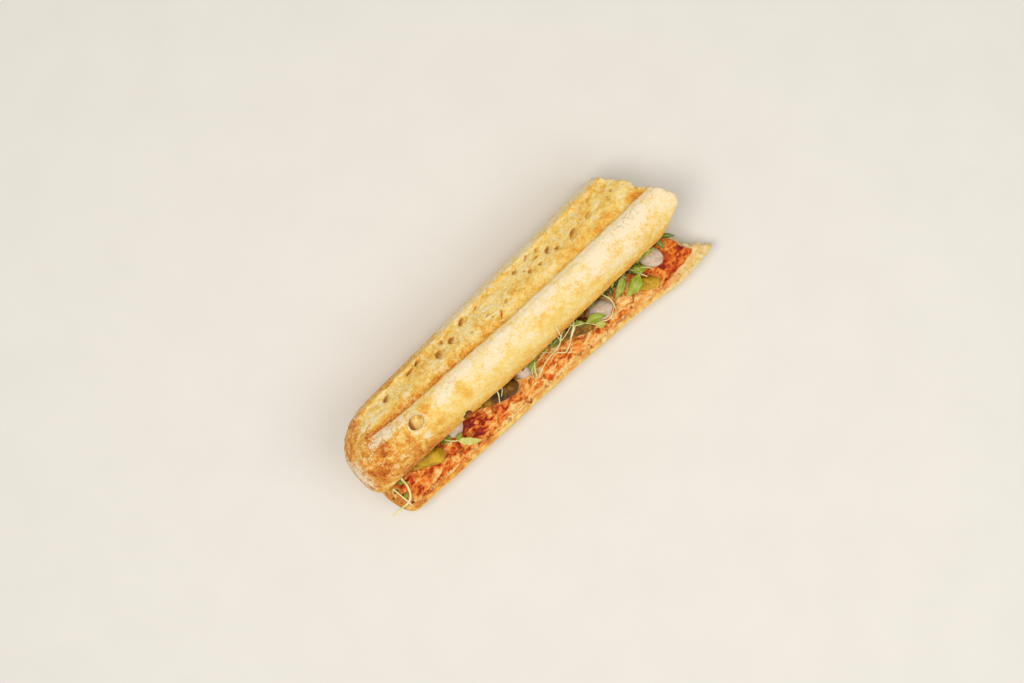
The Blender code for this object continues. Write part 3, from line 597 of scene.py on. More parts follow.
base = {
    "voxel": 0.84,
    # x, y, half length, half width, turn, depth of the holes in the bare crumb
    "hollows": (
        (-35.5, -27.2, 2.8, 1.4, 5, 1.4), (-4.8, -27.6, 3, 1.5, -12, 1.8), (-113.5, -22.6, 2, 1.3, 20, 1.3),
        (-108, -23.5, 1.4, 1, 0, 1.1), (-121, -23, 1.8, 1.3, 0, 1.5), (-124.6, -10, 1.6, 1.8, 0, 1.2),
        (-127, -3, 1.2, 1.8, 0, 1.2), (-123, -16, 1.4, 1.4, 0, 1.1), (-128.5, -12, 1, 1.6, 0, 1.1),
    ),
}


def buildBase():
    piece = copyNode("bread_base", "baseCrust")
    refine(piece, base["voxel"], 4)
    points, normals = readPoints(piece)
    x, y, z = points.T.copy()
    top = baseTop(x, y)
    coarse = bumps(points, 10.0, 3.0, (1.6, 1.0, 1.0))
    middle = bumps(points, 4.0, 11.0)
    small = bumps(points, 1.9, 23.0)
    uneven = warped(points, 1.8, 2.6, 4.0)
    torn = ease(0.35, 0.75, normals[:, 0]) * ease(88.0, 104.0, x)
    cutFace = ease(0.5, 0.8, normals[:, 2]) * ease(2.6, 0.8, top - z)
    crumb = np.maximum(torn, cutFace)
    outside = 1 - crumb
    sunk = np.zeros(len(points))
    hollow = np.zeros(len(points))
    # Holes in the bare crumb, sunk and coloured darker with painted shade
    for hx, hy, along, across, turn, depth in base["hollows"]:
        inside = oval(uneven, hx, hy, along * 1.15, across * 1.15, turn) * (cutFace > 0.3)
        sunk += depth * ease(0.0, 0.7, inside)
        hollow = np.maximum(hollow, ease(0.0, 0.5, inside))
    near = cells(points, 3.2, 6.0)[0]
    pores = np.clip(0.6 - near, 0.0, 0.6) * ease(-0.15, 0.3, middle + 0.3 * small)
    relief = outside * ease(0.0, 1.5, z) * (0.3 * coarse + 0.25 * middle + 0.12 * small)
    relief += crumb * (0.5 * middle + 0.4 * small - 2.0 * pores) + torn * (0.9 * middle + 0.8 * small) - sunk
    caves = tornCaves(points, torn)
    relief -= 1.8 * caves
    points += normals * relief[:, None]
    points[:, 0] += torn * (1.0 * bumps(points, 3.0, 41.0) + 0.7 * bumps(points, 1.4, 43.0))
    points[:, 2] += 0.4 * ease(6.0, 2.0, backY(x) - y) * ease(3.0, 1.0, top - z) * ease(-100.0, -80.0, x)
    points[:, 2] = np.maximum(points[:, 2], 0.0)
    writePoints(piece, points)

    side = np.clip(z / 20.0, 0.0, 1.0)
    left = ease(20.0, -100.0, x)
    tip = ease(-112.0, -120.0, x)
    bake = outside * (0.42 + 0.24 * coarse + 0.1 * middle - 0.18 * ease(60.0, 120.0, x))
    bake += outside * 0.2 * ease(4.0, 0.0, z) - outside * 0.22 * ease(4.0, 0.5, top - z)
    rim = 0.34 + 0.24 * left + 0.4 * middle - 0.2 * ease(80.0, 100.0, x)
    bake += cutFace * (rim + tip * (0.1 + 0.7 * middle + 0.5 * small))
    flour = outside * (0.3 + 0.5 * ease(0.0, 0.4, coarse)) * ease(0.0, 0.3, side)
    flour *= 1 - ease(5.0, 1.0, top - z) * ease(80.0, 20.0, x)
    fromRim = y - rimY(x)
    stain = cutFace * ease(0.2, 4.4, fromRim + 2.4 * middle) * (0.62 - 0.5 * ease(94.0, 116.0, x))
    stain = np.maximum(stain * (1 - 0.6 * tip), cutFace * tip * (0.3 + 1.6 * middle))
    # Painted shade in the pores and caves, and in small holes on the nose's crumb
    hollow = np.maximum(hollow, crumb * pores * (1.4 - 0.8 * ease(80.0, 100.0, x)))
    hollow = np.maximum(hollow, cutFace * tip * ease(0.04, 0.4, small + 0.5 * middle) * 0.5)
    hollow = np.maximum(hollow, 0.3 * caves)
    bare = 0.36 - 0.3 * left + 0.5 * ease(80.0, 104.0, x) + tip * (0.2 - 1.2 * small)
    paint(
        piece,
        bake=bake,
        flour=np.maximum(flour, torn),
        mottle=1 - 0.3 * cutFace,
        crumb=np.maximum(torn, cutFace * bare),
        cracks=np.zeros(len(points)),
        stain=stain,
        open=crumb,
        hollow=hollow,
    )
    finish(piece, "crust", breadMaterial, "bread_base")


# Pickles: the same places and sizes as the solids, and a gherkin's tone at both ends
gherkins = {
    "gherkin_1": {"from": (-109.1, -0.8), "to": (-89.4, -11.6), "radius": 6.8, "bend": 0.8,
                  "tone": (0.78, 0.78)},
    "gherkin_2": {"from": (-48.6, -3.7), "to": (-24.8, -14.2), "radius": 6.7, "bend": -0.8,
                  "tone": (0.56, 0.2)},
    "gherkin_3": {"from": (15.7, -10.6), "to": (37.3, -20.4), "radius": 6.0, "bend": 0.8,
                  "tone": (0.6, 0.3)},
    "gherkin_4": {"from": (79.4, -25.8), "to": (88.4, -31.8), "radius": 4.8, "bend": 0.3,
                  "tone": (0.82, 0.82)},
    "gherkin_5": {"from": (84.0, -4.6), "to": (108.0, -8.6), "radius": 4.9, "bend": 1.0,
                  "tone": (0.4, 0.4)},
}
onions = {
    "onion_1": {"at": (-68.6, -6.6), "along": 7.2, "across": 6.6, "turn": 12.0},
    "onion_2": {"at": (-9.9, -11.0), "along": 7.6, "across": 7.0, "turn": -8.0},
    "onion_3": {"at": (51.5, -20.3), "along": 8.6, "across": 6.9, "turn": -22.0},
    "onion_4": {"at": (98.2, -19.0), "along": 8.2, "across": 7.2, "turn": -50.0},
}
sink = 1.3


def levelAt(x, y):
    return baseTop(x, y) + loaf["spreadDepth"]


# Distance in plan from each pickle's middle line, its radius, and the height of its middle
def pickles(x, y):
    for facts in gherkins.values():
        start, end = np.array(facts["from"]), np.array(facts["to"])
        way = end - start
        t = np.clip(((x - start[0]) * way[0] + (y - start[1]) * way[1]) / (way @ way), 0.0, 1.0)
        side = np.array([-way[1], way[0]]) / math.hypot(*way)
        off = facts["bend"] * np.sin(np.pi * t)
        dx = x - start[0] - way[0] * t - side[0] * off
        dy = y - start[1] - way[1] * t - side[1] * off
        level = levelAt(*(start + way / 2)) - sink + facts["radius"]
        yield np.hypot(dx, dy), facts["radius"], level
    for facts in onions.values():
        level = levelAt(*facts["at"]) - sink + facts["across"]
        yield np.hypot(x - facts["at"][0], y - facts["at"][1]), facts["across"], level


spread = {
    "voxel": 0.61,
    # x, y, half length, half width, turn, strength of the dark glossy meat
    "dark": (
        (-54, -14, 8, 3, -38, 1), (-57.5, -21, 5.5, 3, -12, 1), (-47, -19, 5, 1.8, -20, 0.8),
        (-61, -11.5, 4.5, 2.6, -60, 1), (-105, -9, 5, 1.6, -40, 0.8), (-99, -15, 4, 1.2, -60, 0.6),
        (-32, -22, 5, 1, -10, 0.7), (99.5, -29.6, 2, 1.5, 20, 0.7), (117, -28, 3, 2, 60, 0.3),
        (5, -22.5, 6, 0.9, 5, 0.6), (12, -25, 5, 1.1, 0, 0.7), (-112, -12, 4, 1.2, -50, 0.7),
        (-90, -18, 4, 0.9, -60, 0.6), (-2, -27, 3, 1.2, -10, 0.9), (50, -30.5, 4, 0.9, -20, 0.5),
        (-20, -22, 4, 0.9, 10, 0.5), (85, -33.5, 4, 1, -30, 0.5), (-40, -19.5, 6, 1, 0, 0.6),
    ),
    # The pale strands beside them
    "strands": (
        (-50.5, -16.2, 7, 1.3, -32, 1), (-98, -21.5, 6, 2.4, 10, 0.8), (-80, -22.5, 6, 2.4, -15, 0.8),
        (-88, -26, 6, 1.6, 5, 0.7), (-7, -21, 7, 1.8, 12, 1), (6, -24.6, 6, 1.6, -8, 1),
        (22, -27, 5, 1.6, -10, 0.7), (-34, -24.6, 6, 1.4, 0, 0.9), (68, -31, 6, 1.8, -12, 0.7),
        (-102, -11, 6, 0.9, -45, 0.8), (-59, -16.6, 5, 1, -30, 0.8), (-42, -29, 9, 1.6, 0, 0.6),
        (10, -31, 12, 1.8, -3, 0.6), (48, -34, 10, 1.6, -5, 0.5), (112, -23, 4, 3, 30, 0.5),
    ),
}


def buildSpread():
    piece = copyNode("spread", "spreadMeat")
    refine(piece, spread["voxel"], 3)
    points, normals = readPoints(piece)
    x, y, z = points.T.copy()
    up = ease(0.1, 0.6, normals[:, 2])
    full = baseTop(x, y) + loaf["spreadDepth"]
    # The surface closes up around each pickle
    limit = np.full(len(points), 1e9)
    beside = np.zeros(len(points))
    for distance, radius, level in pickles(x, y):
        inner = level - np.sqrt(np.clip(radius**2 - distance**2, 0.0, None)) - 0.15
        limit = np.where(distance < radius, np.minimum(limit, inner), limit)
        beside = np.maximum(beside, ease(radius + 4.5, radius + 0.5, distance))
    lifted = np.maximum(z, np.minimum(full + 0.4 * bumps(points, 5.0, 2.0), limit))
    points[:, 2] = np.where(up > 0.3, z + (lifted - z) * beside, z)

    # Flakes and strands, finer than the lumps of the solid
    bent = warped(points, 3.0, 4.0, 12.0)
    coarse = bumps(points, 7.0, 3.0, (1.3, 1.0, 1.0))
    middle = bumps(bent, 2.8, 17.0, (2.2, 1.0, 1.0))
    fine = bumps(points, 1.4, 29.0)
    strand = 1 - np.clip(np.abs(bumps(bent, 4.2, 13.0, (2.6, 1.0, 1.0))) * 4.0, 0.0, 1.0)
    relief = 0.8 * coarse + 0.9 * middle + 0.7 * fine + 0.7 * (strand - 0.4)
    farEnd = ease(84.0, 104.0, x)
    tone = 0.54 + (0.26 * coarse + 0.36 * middle + 0.24 * (strand - 0.4)) * (1 - 0.5 * farEnd)
    tone += 0.14 * ease(-75.0, -15.0, x) * (1 - farEnd) - 0.16 * farEnd
    fromRim = y - rimY(x)
    tone += 0.3 * ease(7.0, 3.0, fromRim + 4.0 * middle)
    gloss = np.zeros(len(points))
    for fx, fy, along, across, turn, strength in spread["dark"]:
        inside = ease(0.0, 0.6, oval(bent, fx, fy, along * 1.2, across * 1.2, turn))
        relief = relief * (1 - 0.4 * inside) + 0.3 * inside
        tone -= 0.5 * strength * inside
        gloss = np.maximum(gloss, strength * inside)
    for fx, fy, along, across, turn, strength in spread["strands"]:
        inside = ease(0.0, 0.5, oval(bent, fx, fy, along, across, turn))
        relief += 0.5 * inside
        tone += 0.34 * strength * inside
        gloss *= 1 - 0.8 * inside
    # Painted shade: the spread's low spots are coloured darker
    low = ease(0.0, -0.34, 0.7 * middle + 0.5 * fine)
    relief *= up * (0.4 + 0.6 * (1 - beside)) * (0.5 + 0.5 * ease(34.0, 22.0, z))
    points += normals * relief[:, None]
    # The front edge thins out on the bread
    edge = ease(3.0, 0.4, fromRim - 3.2 - 4.0 * ease(80.0, 106.0, x))
    floor = baseTop(x, y) + 0.15
    points[:, 2] = np.where(edge > 0, floor + (points[:, 2] - floor) * (1 - 0.75 * edge), points[:, 2])
    points[:, 1] += 1.6 * middle * edge
    tornEnd = ease(104.0, 118.0, x)
    points[:, 0] += tornEnd * (2.6 * bumps(points, 4.0, 51.0) + 1.2 * bumps(points, 1.8, 53.0))
    points[:, 2] = np.where(up > 0.3, np.minimum(points[:, 2], limit + 0.3), points[:, 2])
    writePoints(piece, points)
    # Painted shadow of the lid: the spread just in front of the lip is coloured darker
    belowLip = 0.9 * ease(2.4, 0.4, lipY(x) - y)
    paint(piece, tone=tone, crevice=np.maximum(low * (0.5 + 0.5 * up), belowLip), gloss=gloss)
    finish(piece, "spread", makeSpread(), "spread")


def makeSpread():
    look = Look("spreadMeat", **{"Specular IOR Level": 0.22, "Subsurface Weight": 0.1,
                                 "Subsurface Radius": (0.003, 0.0012, 0.0006), "Subsurface Scale": 0.4})
    fine = look.noise(0.8, 4.0)
    shred = look.noise(3.0, 3.0, (0.55, 1.0, 1.0), 1.2)
    tone = look.attribute("tone") + shred * 1.3 + fine * 0.6
    colour = look.ramp(tone.clamp(), (
        (0.0, (122, 18, 2)), (0.16, (176, 44, 5)), (0.34, (216, 88, 16)), (0.56, (238, 136, 40)),
        (0.78, (247, 178, 88)), (1.0, (253, 216, 142)),
    ))
    # Painted shade, dark red in the low spots and just in front of the lip
    crevice = look.attribute("crevice")
    colour = look.mix(look.step(crevice + fine * 0.6, 0.3, 1.0) * 0.6, colour, (128, 34, 6))
    look.feed("Base Color", colour)
    look.feed("Roughness", 0.55 - look.attribute("gloss") * 0.22 + fine * 0.4)
    look.bump(shred * 1.1 + fine * 0.45 + look.noise(0.35, 2.0) * 0.1, 1.0)
    return look.material


def makeGherkin():
    look = Look("gherkinSkin", **{"Subsurface Weight": 0.15, "Subsurface Radius": (0.003, 0.002, 0.0006),
                                  "Subsurface Scale": 0.4, "Specular IOR Level": 0.25, "Coat Weight": 0.05})
    fine = look.noise(0.7, 4.0)
    patch = look.noise(4.0, 4.0, twist=0.6)
    tone = look.attribute("tone") + patch * 1.0 + fine * 0.45
    colour = look.ramp(tone.clamp(), (
        (0.0, (58, 34, 2)), (0.3, (122, 76, 4)), (0.6, (180, 134, 10)), (1.0, (220, 178, 36)),
    ))
    colour = look.mix(look.step(look.attribute("wart"), 0.3, 1.0) * 0.5, colour, (220, 198, 108))
    look.feed("Base Color", colour)
    look.feed("Roughness", 0.42 + fine * 0.5)
    look.bump(fine * 0.4 + patch * 0.4, 1.0)
    return look.material


def buildGherkins():
    material = makeGherkin()
    for nodeName, facts in gherkins.items():
        piece = copyNode(nodeName, nodeName.replace("_", "Body"))
        apply(piece, "SUBSURF", levels=3, render_levels=3)
        points, normals = readPoints(piece)
        start, end = np.array(facts["from"]), np.array(facts["to"])
        length = np.linalg.norm(end - start)
        along = (points[:, :2] - start) @ (end - start) / length
        ridge = bumps(points, 2.6, facts["bend"])
        near, pick = cells(points, 2.8, facts["radius"])
        wart = ease(0.34, 0.0, near) * (pick > 0.35)
        dent = bumps(points, 8.0, facts["radius"])
        tips = ease(0.3, 1.3, np.abs(along / length - 0.5) * 2)
        points += normals * (0.2 * wart + 0.14 * ridge + 0.5 * dent - 0.15)[:, None]
        writePoints(piece, points)
        # Painted shadow: a gherkin is coloured darker where the lid's lip overhangs it
        covered = 0.14 * ease(3.0, 0.4, lipY(points[:, 0]) - points[:, 1])
        tone = np.interp(along / length, (0.1, 0.8), facts["tone"])
        paint(piece, tone=tone + 0.1 * tips + 0.3 * dent - 0.1 - covered, wart=wart)
        finish(piece, "gherkin", material, nodeName)


def makeOnion():
    look = Look("onionSkin", **{"Subsurface Weight": 0.35, "Subsurface Radius": (0.004, 0.0035, 0.003),
                                "Subsurface Scale": 0.6, "Coat Weight": 0.2, "Coat Roughness": 0.25})
    fine = look.noise(0.7, 3.0)
    patch = look.noise(5.0, 3.0)
    vein = look.attribute("vein")
    tone = 0.55 + patch * 1.2 + fine * 0.2 - vein * 0.14
    colour = look.ramp(tone.clamp(), (
        (0.0, (168, 136, 112)), (0.45, (206, 180, 156)), (1.0, (236, 220, 200)),
    ))
    colour = look.mix(look.step(look.attribute("root"), 0.4, 1.0) * 0.5, colour, (226, 204, 150))
    look.feed("Base Color", colour)
    look.feed("Roughness", 0.36 + fine * 0.2)
    look.bump(vein * 0.05 + fine * 0.08, 0.8)
    return look.material


def buildOnions():
    material = makeOnion()
    for nodeName, facts in onions.items():
        piece = copyNode(nodeName, nodeName.replace("_", "Bulb"))
        apply(piece, "SUBSURF", levels=3, render_levels=3)
        points, normals = readPoints(piece)
        turn = math.radians(facts["turn"])
        dx = points[:, 0] - facts["at"][0]
        dy = points[:, 1] - facts["at"][1]
        along = dx * math.cos(turn) + dy * math.sin(turn)
        side = -dx * math.sin(turn) + dy * math.cos(turn)
        up = points[:, 2] - points[:, 2].mean()
        angle = np.arctan2(up, side)
        vein = 0.5 + 0.5 * np.sin(angle * 17 + 5.0 * bumps(points, 6.0, facts["turn"]))
        lobes = 0.25 * np.sin(angle * 3 + facts["turn"]) + 0.5 * bumps(points, 9.0, facts["turn"])
        points += normals * (lobes - 0.1)[:, None]
        writePoints(piece, points)
        paint(piece, vein=vein**4, root=ease(0.75, 1.05, along / facts["along"]))
        finish(piece, "onion", material, nodeName)


buildLid()
buildBase()
buildSpread()
buildGherkins()
buildOnions()
print("bread, spread and pickles built")


cress = {
    "bed": {"left": -117.0, "right": 101.0, "back": 27.0, "behindLip": 4.0, "grid": (218, 30)},
    "stalkRadius": 0.6,
    "threadRadius": 0.38,
    "bedStalkRadius": 0.42,
    "leafThickness": 0.3,
    "inBed": 240,
    "inGap": 26,
}
# x, y and lift above what lies below, as on the solid
stalks = (
    ((-112, 0, 1), (-115.2, -7.2, 1), (-116.1, -13, 0.8), (-119.3, -18.8, 0.6), (-123.2, -20.7, 0.6),
     (-128.3, -20.4, 1), (-136.4, -20, 1.8)),
    ((-123.9, -7.6, 0.8), (-122.8, -20.7, 0.6), (-122.5, -24.5, 0.5)),
    ((-82, -1, 1), (-79, -6.6, 1.2), (-75.2, -12.4, 1), (-70.7, -16.2, 0.6)),
    ((-31, -4, 1), (-32.3, -11.4, 1), (-36.1, -16.8, 0.4)),
    ((2, -4, 1), (0.3, -11.1, 1), (-3.5, -15.6, 0.8), (-8.3, -23.2, 0.5)),
    ((19.5, -6, 1), (19.5, -15.8, 1), (15.7, -17.8, 0.8), (2.9, -19.4, 0.6), (-6.1, -22.6, 0.5)),
    ((36, -6, 1), (34.1, -13.4, 1), (28.5, -17.5, 1), (17.6, -23.9, 0.6), (12.5, -20, 0.5)),
    ((28, -4, 1), (31.7, -14.6, 1.2), (38.1, -18.8, 1), (41.3, -22.6, 0.8), (44.5, -27.7, 0.5)),
    ((58, -5, 1), (59.2, -13.6, 1.2), (61.1, -20, 0.8), (59.2, -27.1, 0.5)),
    ((80, -4, 1), (78.4, -12, 1.2), (77.8, -17.5, 0.8)),
    ((84, -4, 1), (83, -12, 1.2), (85.8, -20.8, 0.8), (88, -26.4, 0.6)),
    ((97, -4, 1), (106, -10.4, 1.2), (113, -15.4, 1.4)),
)
# Thinner ones beside them
threads = (
    ((-26, -5, 1), (-28.5, -11.4, 1), (-32.3, -14.6, 0.5)),
    ((8, -6, 1), (6, -13, 1), (11, -17.6, 0.6)),
    ((24, -13, 1.6), (19.8, -16.4, 1.4), (34, -13.6, 1.4)),
    ((33, -16, 1.2), (24, -20.6, 0.6), (17, -24.4, 0.5)),
    ((36, -14, 1.4), (37, -18, 1.2), (40, -20, 0.8)),
    ((44, -24, 0.6), (52, -28.4, 0.3), (61, -24, 0.5)),
    ((72, -6, 1), (70, -13.6, 1.2), (66, -15.4, 1)),
    ((86, -17, 1), (92, -22, 0.6), (94, -26, 0.4)),
    ((4, -15, 1), (-6, -16, 0.6), (-9.6, -21, 0.5)),
    ((100, -10, 1.4), (104, -13.4, 1.2), (111, -13, 1.2)),
)
# Foot x and y, heading, length, width, rise to the tip, tone from dark to pale
leaves = (
    (-116, -9.6, 165, 4.6, 3, 0.4, 0.45), (-122.6, -16, 12, 4.6, 2.8, 0.2, 0.5),
    (-79, -6.6, -62, 7.4, 4.6, -0.2, 0.5), (-72.6, -14.6, 20, 6, 3.4, 0.2, 0.5),
    (-70.7, -16.2, -41, 16.4, 5, 0, 0.92), (0.3, -13, -140, 9.2, 4.6, 0.4, 0.62),
    (17.6, -13.4, -174, 9, 4.4, 0.4, 0.34), (39, -18.8, -29, 14, 5.6, 0.4, 0.55),
    (42.6, -24.4, -35, 7.4, 4.6, 0.4, 0.78), (77.8, -17.5, -157, 16.6, 5.2, 0.2, 0.66),
    (85.8, -21.8, -167, 17, 8.2, 0.2, 0.66), (82.6, -15.6, -38, 11, 5.8, 0.2, 0.62),
    (107.8, -12.4, -92, 9.6, 3.6, 0, 0.3), (113, -15.4, -42, 10, 3.4, 0.6, 0.35),
    (-79.4, -6.8, -112, 4.6, 3, 0, 0.5), (-78.4, -6.8, -18, 4.4, 3, 0, 0.55),
    (94.4, -15.6, -4, 9.4, 2.4, 0.4, 0.7), (33, -14.4, -50, 8, 4, 0.4, 0.4),
    (56, -13.6, -60, 6, 3.4, 0.2, 0.3), (72, -13, -100, 6, 3.6, 0.2, 0.25),
    (88.6, -13.6, -80, 6.6, 3.4, 0.2, 0.35),
)
# A stalk that leans on the crust, as x, y and z
leaningStalk = (
    (20, -15.2, 38.6), (20.4, -14.9, 42), (21, -14.8, 46), (22, -12.6, 50.1), (22.8, -9.4, 55.3),
    (23.5, -5.6, 60.4),
)


def cressFloor(x, y):
    rise = 1.2
    for distance, radius, _ in pickles(x, y):
        inside = np.clip(1 - (distance / (radius + 4.0)) ** 2, 0.0, 1.0)
        rise = np.maximum(rise, (2 * radius - sink + 0.5) * inside**0.75)
    return levelAt(x, y) + rise


def stalkWay(points, step=1.2):
    points = np.array(points)
    gaps = np.hypot(*np.diff(points[:, :2], axis=0).T)
    knots = np.concatenate([[0.0], np.cumsum(gaps)])
    at = np.linspace(0.0, knots[-1], max(4, round(knots[-1] / step)))
    x, y, lift = (follow(list(zip(knots, points[:, k])), at) for k in range(3))
    z = cressFloor(x, y) + cress["stalkRadius"] + 0.3 + lift
    z = np.where(y > lipY(x) - 1.0, np.minimum(z, lidUnder(x, y) - 1.8), z)
    return np.column_stack([x, y, z])


# A round stalk along a way, thinner at its end
def stalkPiece(way, radius):
    curve = bpy.data.curves.new("stalk", "CURVE")
    curve.dimensions = "3D"
    curve.bevel_depth = radius * mm
    curve.bevel_resolution = 2
    curve.use_fill_caps = True
    line = curve.splines.new("POLY")
    line.points.add(len(way) - 1)
    for i, (point, spot) in enumerate(zip(line.points, way)):
        point.co = (*(spot * mm), 1.0)
        point.radius = 1.0 - 0.4 * i / len(way)
    piece = bpy.data.objects.new("stalk", curve)
    bpy.context.scene.collection.objects.link(piece)
    activate(piece)
    bpy.ops.object.convert(target="MESH")
    return bpy.context.object


# A folded, wavy blade that lies over what is below it
def leafPiece(foot, heading, length, width, rise, tone, drape=True, roll=0.0, steps=(14, 6)):
    piece, t, s = newGrid("leaf", *steps)
    stem = ease(0.0, 0.2, t)
    blade = np.sin(np.pi * np.clip(t, 0, 1) ** 0.8) ** (0.7 + 0.5 * t)
    half = 0.5 * width * (0.1 + 0.9 * stem * blade) * (t < 0.999)
    seed = foot[0] * 0.7 + foot[1]
    half *= 1 + 0.08 * np.sin(t * 21 + seed)
    angle = math.radians(heading)
    bendAlong = 0.12 * length * np.sin(t * 2.6) * math.sin(seed)
    px = foot[0] + math.cos(angle) * length * t - math.sin(angle) * (half * s + bendAlong)
    py = foot[1] + math.sin(angle) * length * t + math.cos(angle) * (half * s + bendAlong)
    waves = 0.35 * np.sin(5 * t + seed) + 0.25 * np.sin(9 * t + 3 * s + seed)
    lift = rise * t + 0.28 * np.abs(s) * half + waves + half * s * math.tan(math.radians(roll))
    if drape:
        lowest = cressFloor(px, py) + 0.3 + 0.2 * np.abs(s) * half
        pz = foot[2] + np.clip(4 * t, 0, 1) * (np.maximum(foot[2] + lift, lowest) - foot[2])
    else:
        pz = foot[2] + lift
    writePoints(piece, np.column_stack([px, py, pz]))
    midrib = np.clip(1 - np.abs(s) * 5 * (0.4 + t), 0, 1)
    between = np.abs(np.modf(np.abs(t * 6 - np.abs(s) * 1.4))[0] - 0.5)
    sideRibs = np.clip(1 - 6 * between, 0, 1) * (np.abs(s) < 0.85)
    paint(piece, tone=np.full(len(t), tone), rib=midrib + 0.6 * sideRibs)
    apply(piece, "SOLIDIFY", thickness=cress["leafThickness"] * mm, offset=0.0)
    return piece


def joined(pieces, name):
    bpy.ops.object.select_all(action="DESELECT")
    for piece in pieces:
        piece.select_set(True)
    bpy.context.view_layer.objects.active = pieces[0]
    bpy.ops.object.join()
    whole = bpy.context.object
    whole.name = name
    return whole


def makeLeaf():
    look = Look("leafGreen", **{"Subsurface Weight": 0.15, "Subsurface Radius": (0.002, 0.003, 0.001),
                                "Subsurface Scale": 0.4})
    fine = look.noise(0.8, 3.0)
    patch = look.noise(5.0, 3.0)
    tone = look.attribute("tone") + fine * 0.4 + patch * 0.5
    colour = look.ramp(tone.clamp(), (
        (0.0, (20, 30, 6)), (0.3, (80, 96, 6)), (0.6, (154, 170, 16)), (1.0, (230, 214, 122)),
    ))
    colour = look.mix(look.step(look.attribute("rib"), 0.2, 1.0) * 0.45, colour, (190, 200, 110))
    look.feed("Base Color", colour)
    look.feed("Roughness", 0.45 + fine * 0.3)
    look.bump(look.attribute("rib") * 0.15 + fine * 0.15, 0.8)
    return look.material


def makeStalk():
    look = Look("stalkPale", **{"Subsurface Weight": 0.3, "Subsurface Radius": (0.003, 0.003, 0.001),
                                "Subsurface Scale": 0.4})
    patch = look.noise(7.0, 3.0)
    colour = look.ramp((patch + 0.5).clamp(), (
        (0.25, (200, 194, 96)), (0.5, (240, 228, 156)), (0.75, (250, 240, 200)),
    ))
    look.feed("Base Color", colour)
    look.feed("Roughness", 0.38 + patch * 0.2)
    look.bump(look.noise(1.2, 2.0) * 0.1, 0.6)
    return look.material


def makeBed():
    look = Look("leafBed", **{"Specular IOR Level": 0.3})
    fine = look.noise(1.6, 4.0)
    patch = look.noise(6.0, 4.0)
    # Near black to dark green: painted shade of the leaves under the lid
    colour = look.ramp((fine + patch + 0.5).clamp(), (
        (0.0, (12, 20, 6)), (0.5, (34, 50, 14)), (1.0, (84, 100, 30)),
    ))
    look.feed("Base Color", colour)
    look.feed("Roughness", 0.6 + fine * 0.2)
    look.bump(fine * 0.8 + patch * 0.8, 1.0)
    return look.material


# The core under the lid, leaf green made dark with painted shade
def buildCore():
    bed = cress["bed"]
    core, along, across = newGrid("cressCore", *bed["grid"])
    x = bed["left"] + (bed["right"] - bed["left"]) * along
    share = (across + 1) / 2
    flat = np.column_stack([x, share * 30, np.zeros(len(x))])
    front = lipY(x) + bed["behindLip"] + 1.6 * bumps(flat * [1, 0, 0], 8.0, 3.0)
    y = front + (bed["back"] - front) * share
    spot = np.column_stack([x, y, np.zeros(len(x))])
    floor = cressFloor(x, y)
    most = 6.4 + 2.6 * bumps(spot, 7.0, 3.0) + 1.2 * bumps(spot, 2.5, 6.0)
    z = np.minimum(floor + most, lidUnder(x, y) - 1.2)
    writePoints(core, np.column_stack([x, y, z]))
    apply(core, "SOLIDIFY", thickness=3.0 * mm, offset=-1.0)
    finish(core, "cress", makeBed(), "cress")


# Leaves coloured near black in the gap below the lip, standing in for its shade
def fillGap(blades):
    for _ in range(cress["inGap"]):
        x = rng.uniform(61.0, 89.0)
        y = float(lipY(x)) + rng.uniform(-1.6, 2.4)
        foot = np.array([x, y, float(cressFloor(x, y)) + rng.uniform(0.2, 2.0)])
        heading, length, width = rng.uniform(-180, 180), rng.uniform(3.6, 5.6), rng.uniform(2.2, 3.6)
        # Painted shade: their tones lie at the dark end
        rise, tone, roll = rng.uniform(-0.4, 0.2), rng.uniform(0.0, 0.22), rng.uniform(-20, 20)
        blades.append(leafPiece(foot, heading, length, width, rise, tone, False, roll, (8, 4)))


# Loose leaves and stalks over the core's front
def fillBed(made, blades):
    bed = cress["bed"]
    for number in range(cress["inBed"]):
        x = rng.uniform(-8.0, bed["right"] + 3) if number % 5 else rng.uniform(bed["left"] + 2, -8.0)
        y = float(lipY(x)) + rng.uniform(2.2 if x > -8 else 4.0, 9.0)
        ceiling = float(lidUnder(x, y)) - 1.2
        floor = cressFloor(x, y)
        if ceiling - floor < 1.2:
            continue
        z = rng.uniform(floor + 0.6, ceiling - 0.4)
        heading = rng.uniform(-150.0, -30.0)
        length = rng.uniform(4.0, 8.0)
        reach = y + math.sin(math.radians(heading)) * length
        if reach < float(lipY(x)) - 1.5:
            length *= 0.6
        foot = np.array([x, y, z])
        if number % 3 == 0:
            run = np.linspace(0, 1, 8)[:, None]
            way = foot + run * np.array([rng.uniform(-9, 9), rng.uniform(-3, 6), 0.0])
            way[:, 2] += 0.8 * np.sin(3 * run[:, 0])
            top = lidUnder(way[:, 0], way[:, 1]) - 1.2
            bottom = cressFloor(way[:, 0], way[:, 1]) + 0.4
            way[:, 2] = np.maximum(np.minimum(way[:, 2], top), np.minimum(bottom, top))
            made.append(stalkPiece(way, cress["bedStalkRadius"]))
        else:
            width, rise = rng.uniform(2.4, 4.6), rng.uniform(-0.5, 0.5)
            tone, roll = rng.uniform(0.1, 0.65), rng.uniform(-25, 25)
            blades.append(leafPiece(foot, heading, length, width, rise, tone, False, roll, (8, 4)))


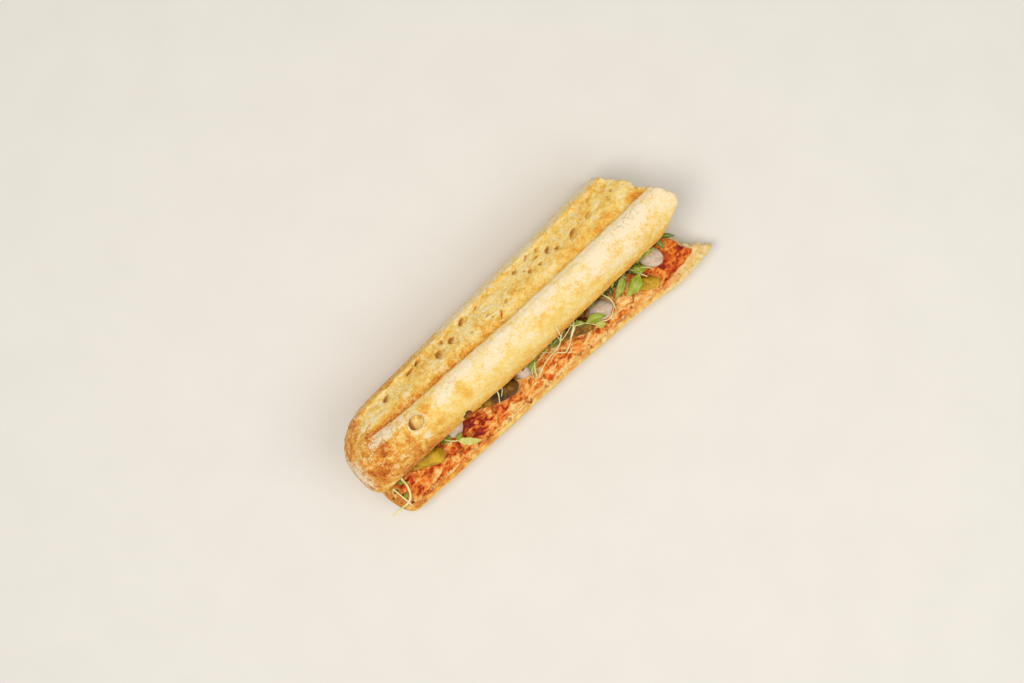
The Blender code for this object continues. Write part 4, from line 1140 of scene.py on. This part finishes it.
def buildCress():
    buildCore()
    made = []
    ways = [stalkWay(points) for points in stalks]
    for number, way in enumerate(ways):
        made.append(stalkPiece(way, cress["stalkRadius"] * (1.5 if number == 0 else 1.0)))
    made.append(stalkPiece(np.array(leaningStalk), cress["stalkRadius"] * 0.9))
    for points in threads:
        made.append(stalkPiece(stalkWay(points), cress["threadRadius"]))
    joints = np.vstack([way[:-2] for way in ways])
    blades = []
    for x, y, heading, length, width, rise, tone in leaves:
        foot = joints[np.argmin(np.hypot(joints[:, 0] - x, joints[:, 1] - y))]
        if math.hypot(foot[0] - x, foot[1] - y) > 4.0:
            foot = np.array([x, y, float(cressFloor(x, y)) + 1.0])
        blades.append(leafPiece(foot, heading, length, width, rise, tone))
    fillGap(blades)
    fillBed(made, blades)
    finish(joined(made, "cressStalks"), "cress", makeStalk(), "cress")
    finish(joined(blades, "cressLeaves"), "cress", makeLeaf(), "cress")


buildCress()
print("cress built")


studio = {
    "floor": ((229, 225, 217), (232, 228, 220)),
    "aim": (-2.76, 5.43, 35.0),
    "turn": -45.0,
    "distance": 1547.5,
    "lens": 85.0,
    "key": {"at": (-0.35, 0.1, 1.35), "size": 0.6, "watts": 8.1, "colour": (1.0, 0.97, 0.92)},
    "fill": {"at": (0.3, -0.6, 1.0), "size": 0.9, "watts": 4.4, "colour": (1.0, 0.98, 0.95)},
    "sky": 0.48,
}


def addLight(name, facts):
    target = Vector((0.0, 0.0, 0.03))
    place = Vector(facts["at"])
    turn = (place - target).to_track_quat("Z", "Y").to_euler()
    bpy.ops.object.light_add(type="AREA", location=place, rotation=turn)
    lamp = bpy.context.object
    lamp.name = name
    lamp.data.size = facts["size"]
    lamp.data.energy = facts["watts"]
    lamp.data.color = facts["colour"]


def buildStudio():
    bpy.ops.mesh.primitive_plane_add(size=6.0, location=(0.0, 0.0, -0.0004))
    floor = bpy.context.object
    floor.name = "paleFloor"
    look = Look("paleFloor", **{"Roughness": 0.7})
    look.feed("Base Color", look.mix(look.step(look.noise(40.0, 3.0), -0.3, 0.3), *studio["floor"]))
    floor.data.materials.append(look.material)
    addLight("keyLight", studio["key"])
    addLight("fillLight", studio["fill"])
    world = bpy.data.worlds.new("studio")
    world.use_nodes = True
    world.node_tree.nodes["Background"].inputs["Color"].default_value = (1.0, 0.99, 0.97, 1.0)
    world.node_tree.nodes["Background"].inputs["Strength"].default_value = studio["sky"]
    bpy.context.scene.world = world
    bpy.context.scene.view_settings.view_transform = "Standard"
    aim = Vector(studio["aim"]) * mm
    turn = (0.0, 0.0, math.radians(studio["turn"]))
    bpy.ops.object.camera_add(location=aim + Vector((0, 0, studio["distance"] * mm)), rotation=turn)
    camera = bpy.context.object
    camera.data.lens = studio["lens"]
    camera.data.sensor_width = 36.0
    bpy.context.scene.camera = camera


buildStudio()
print("studio built")
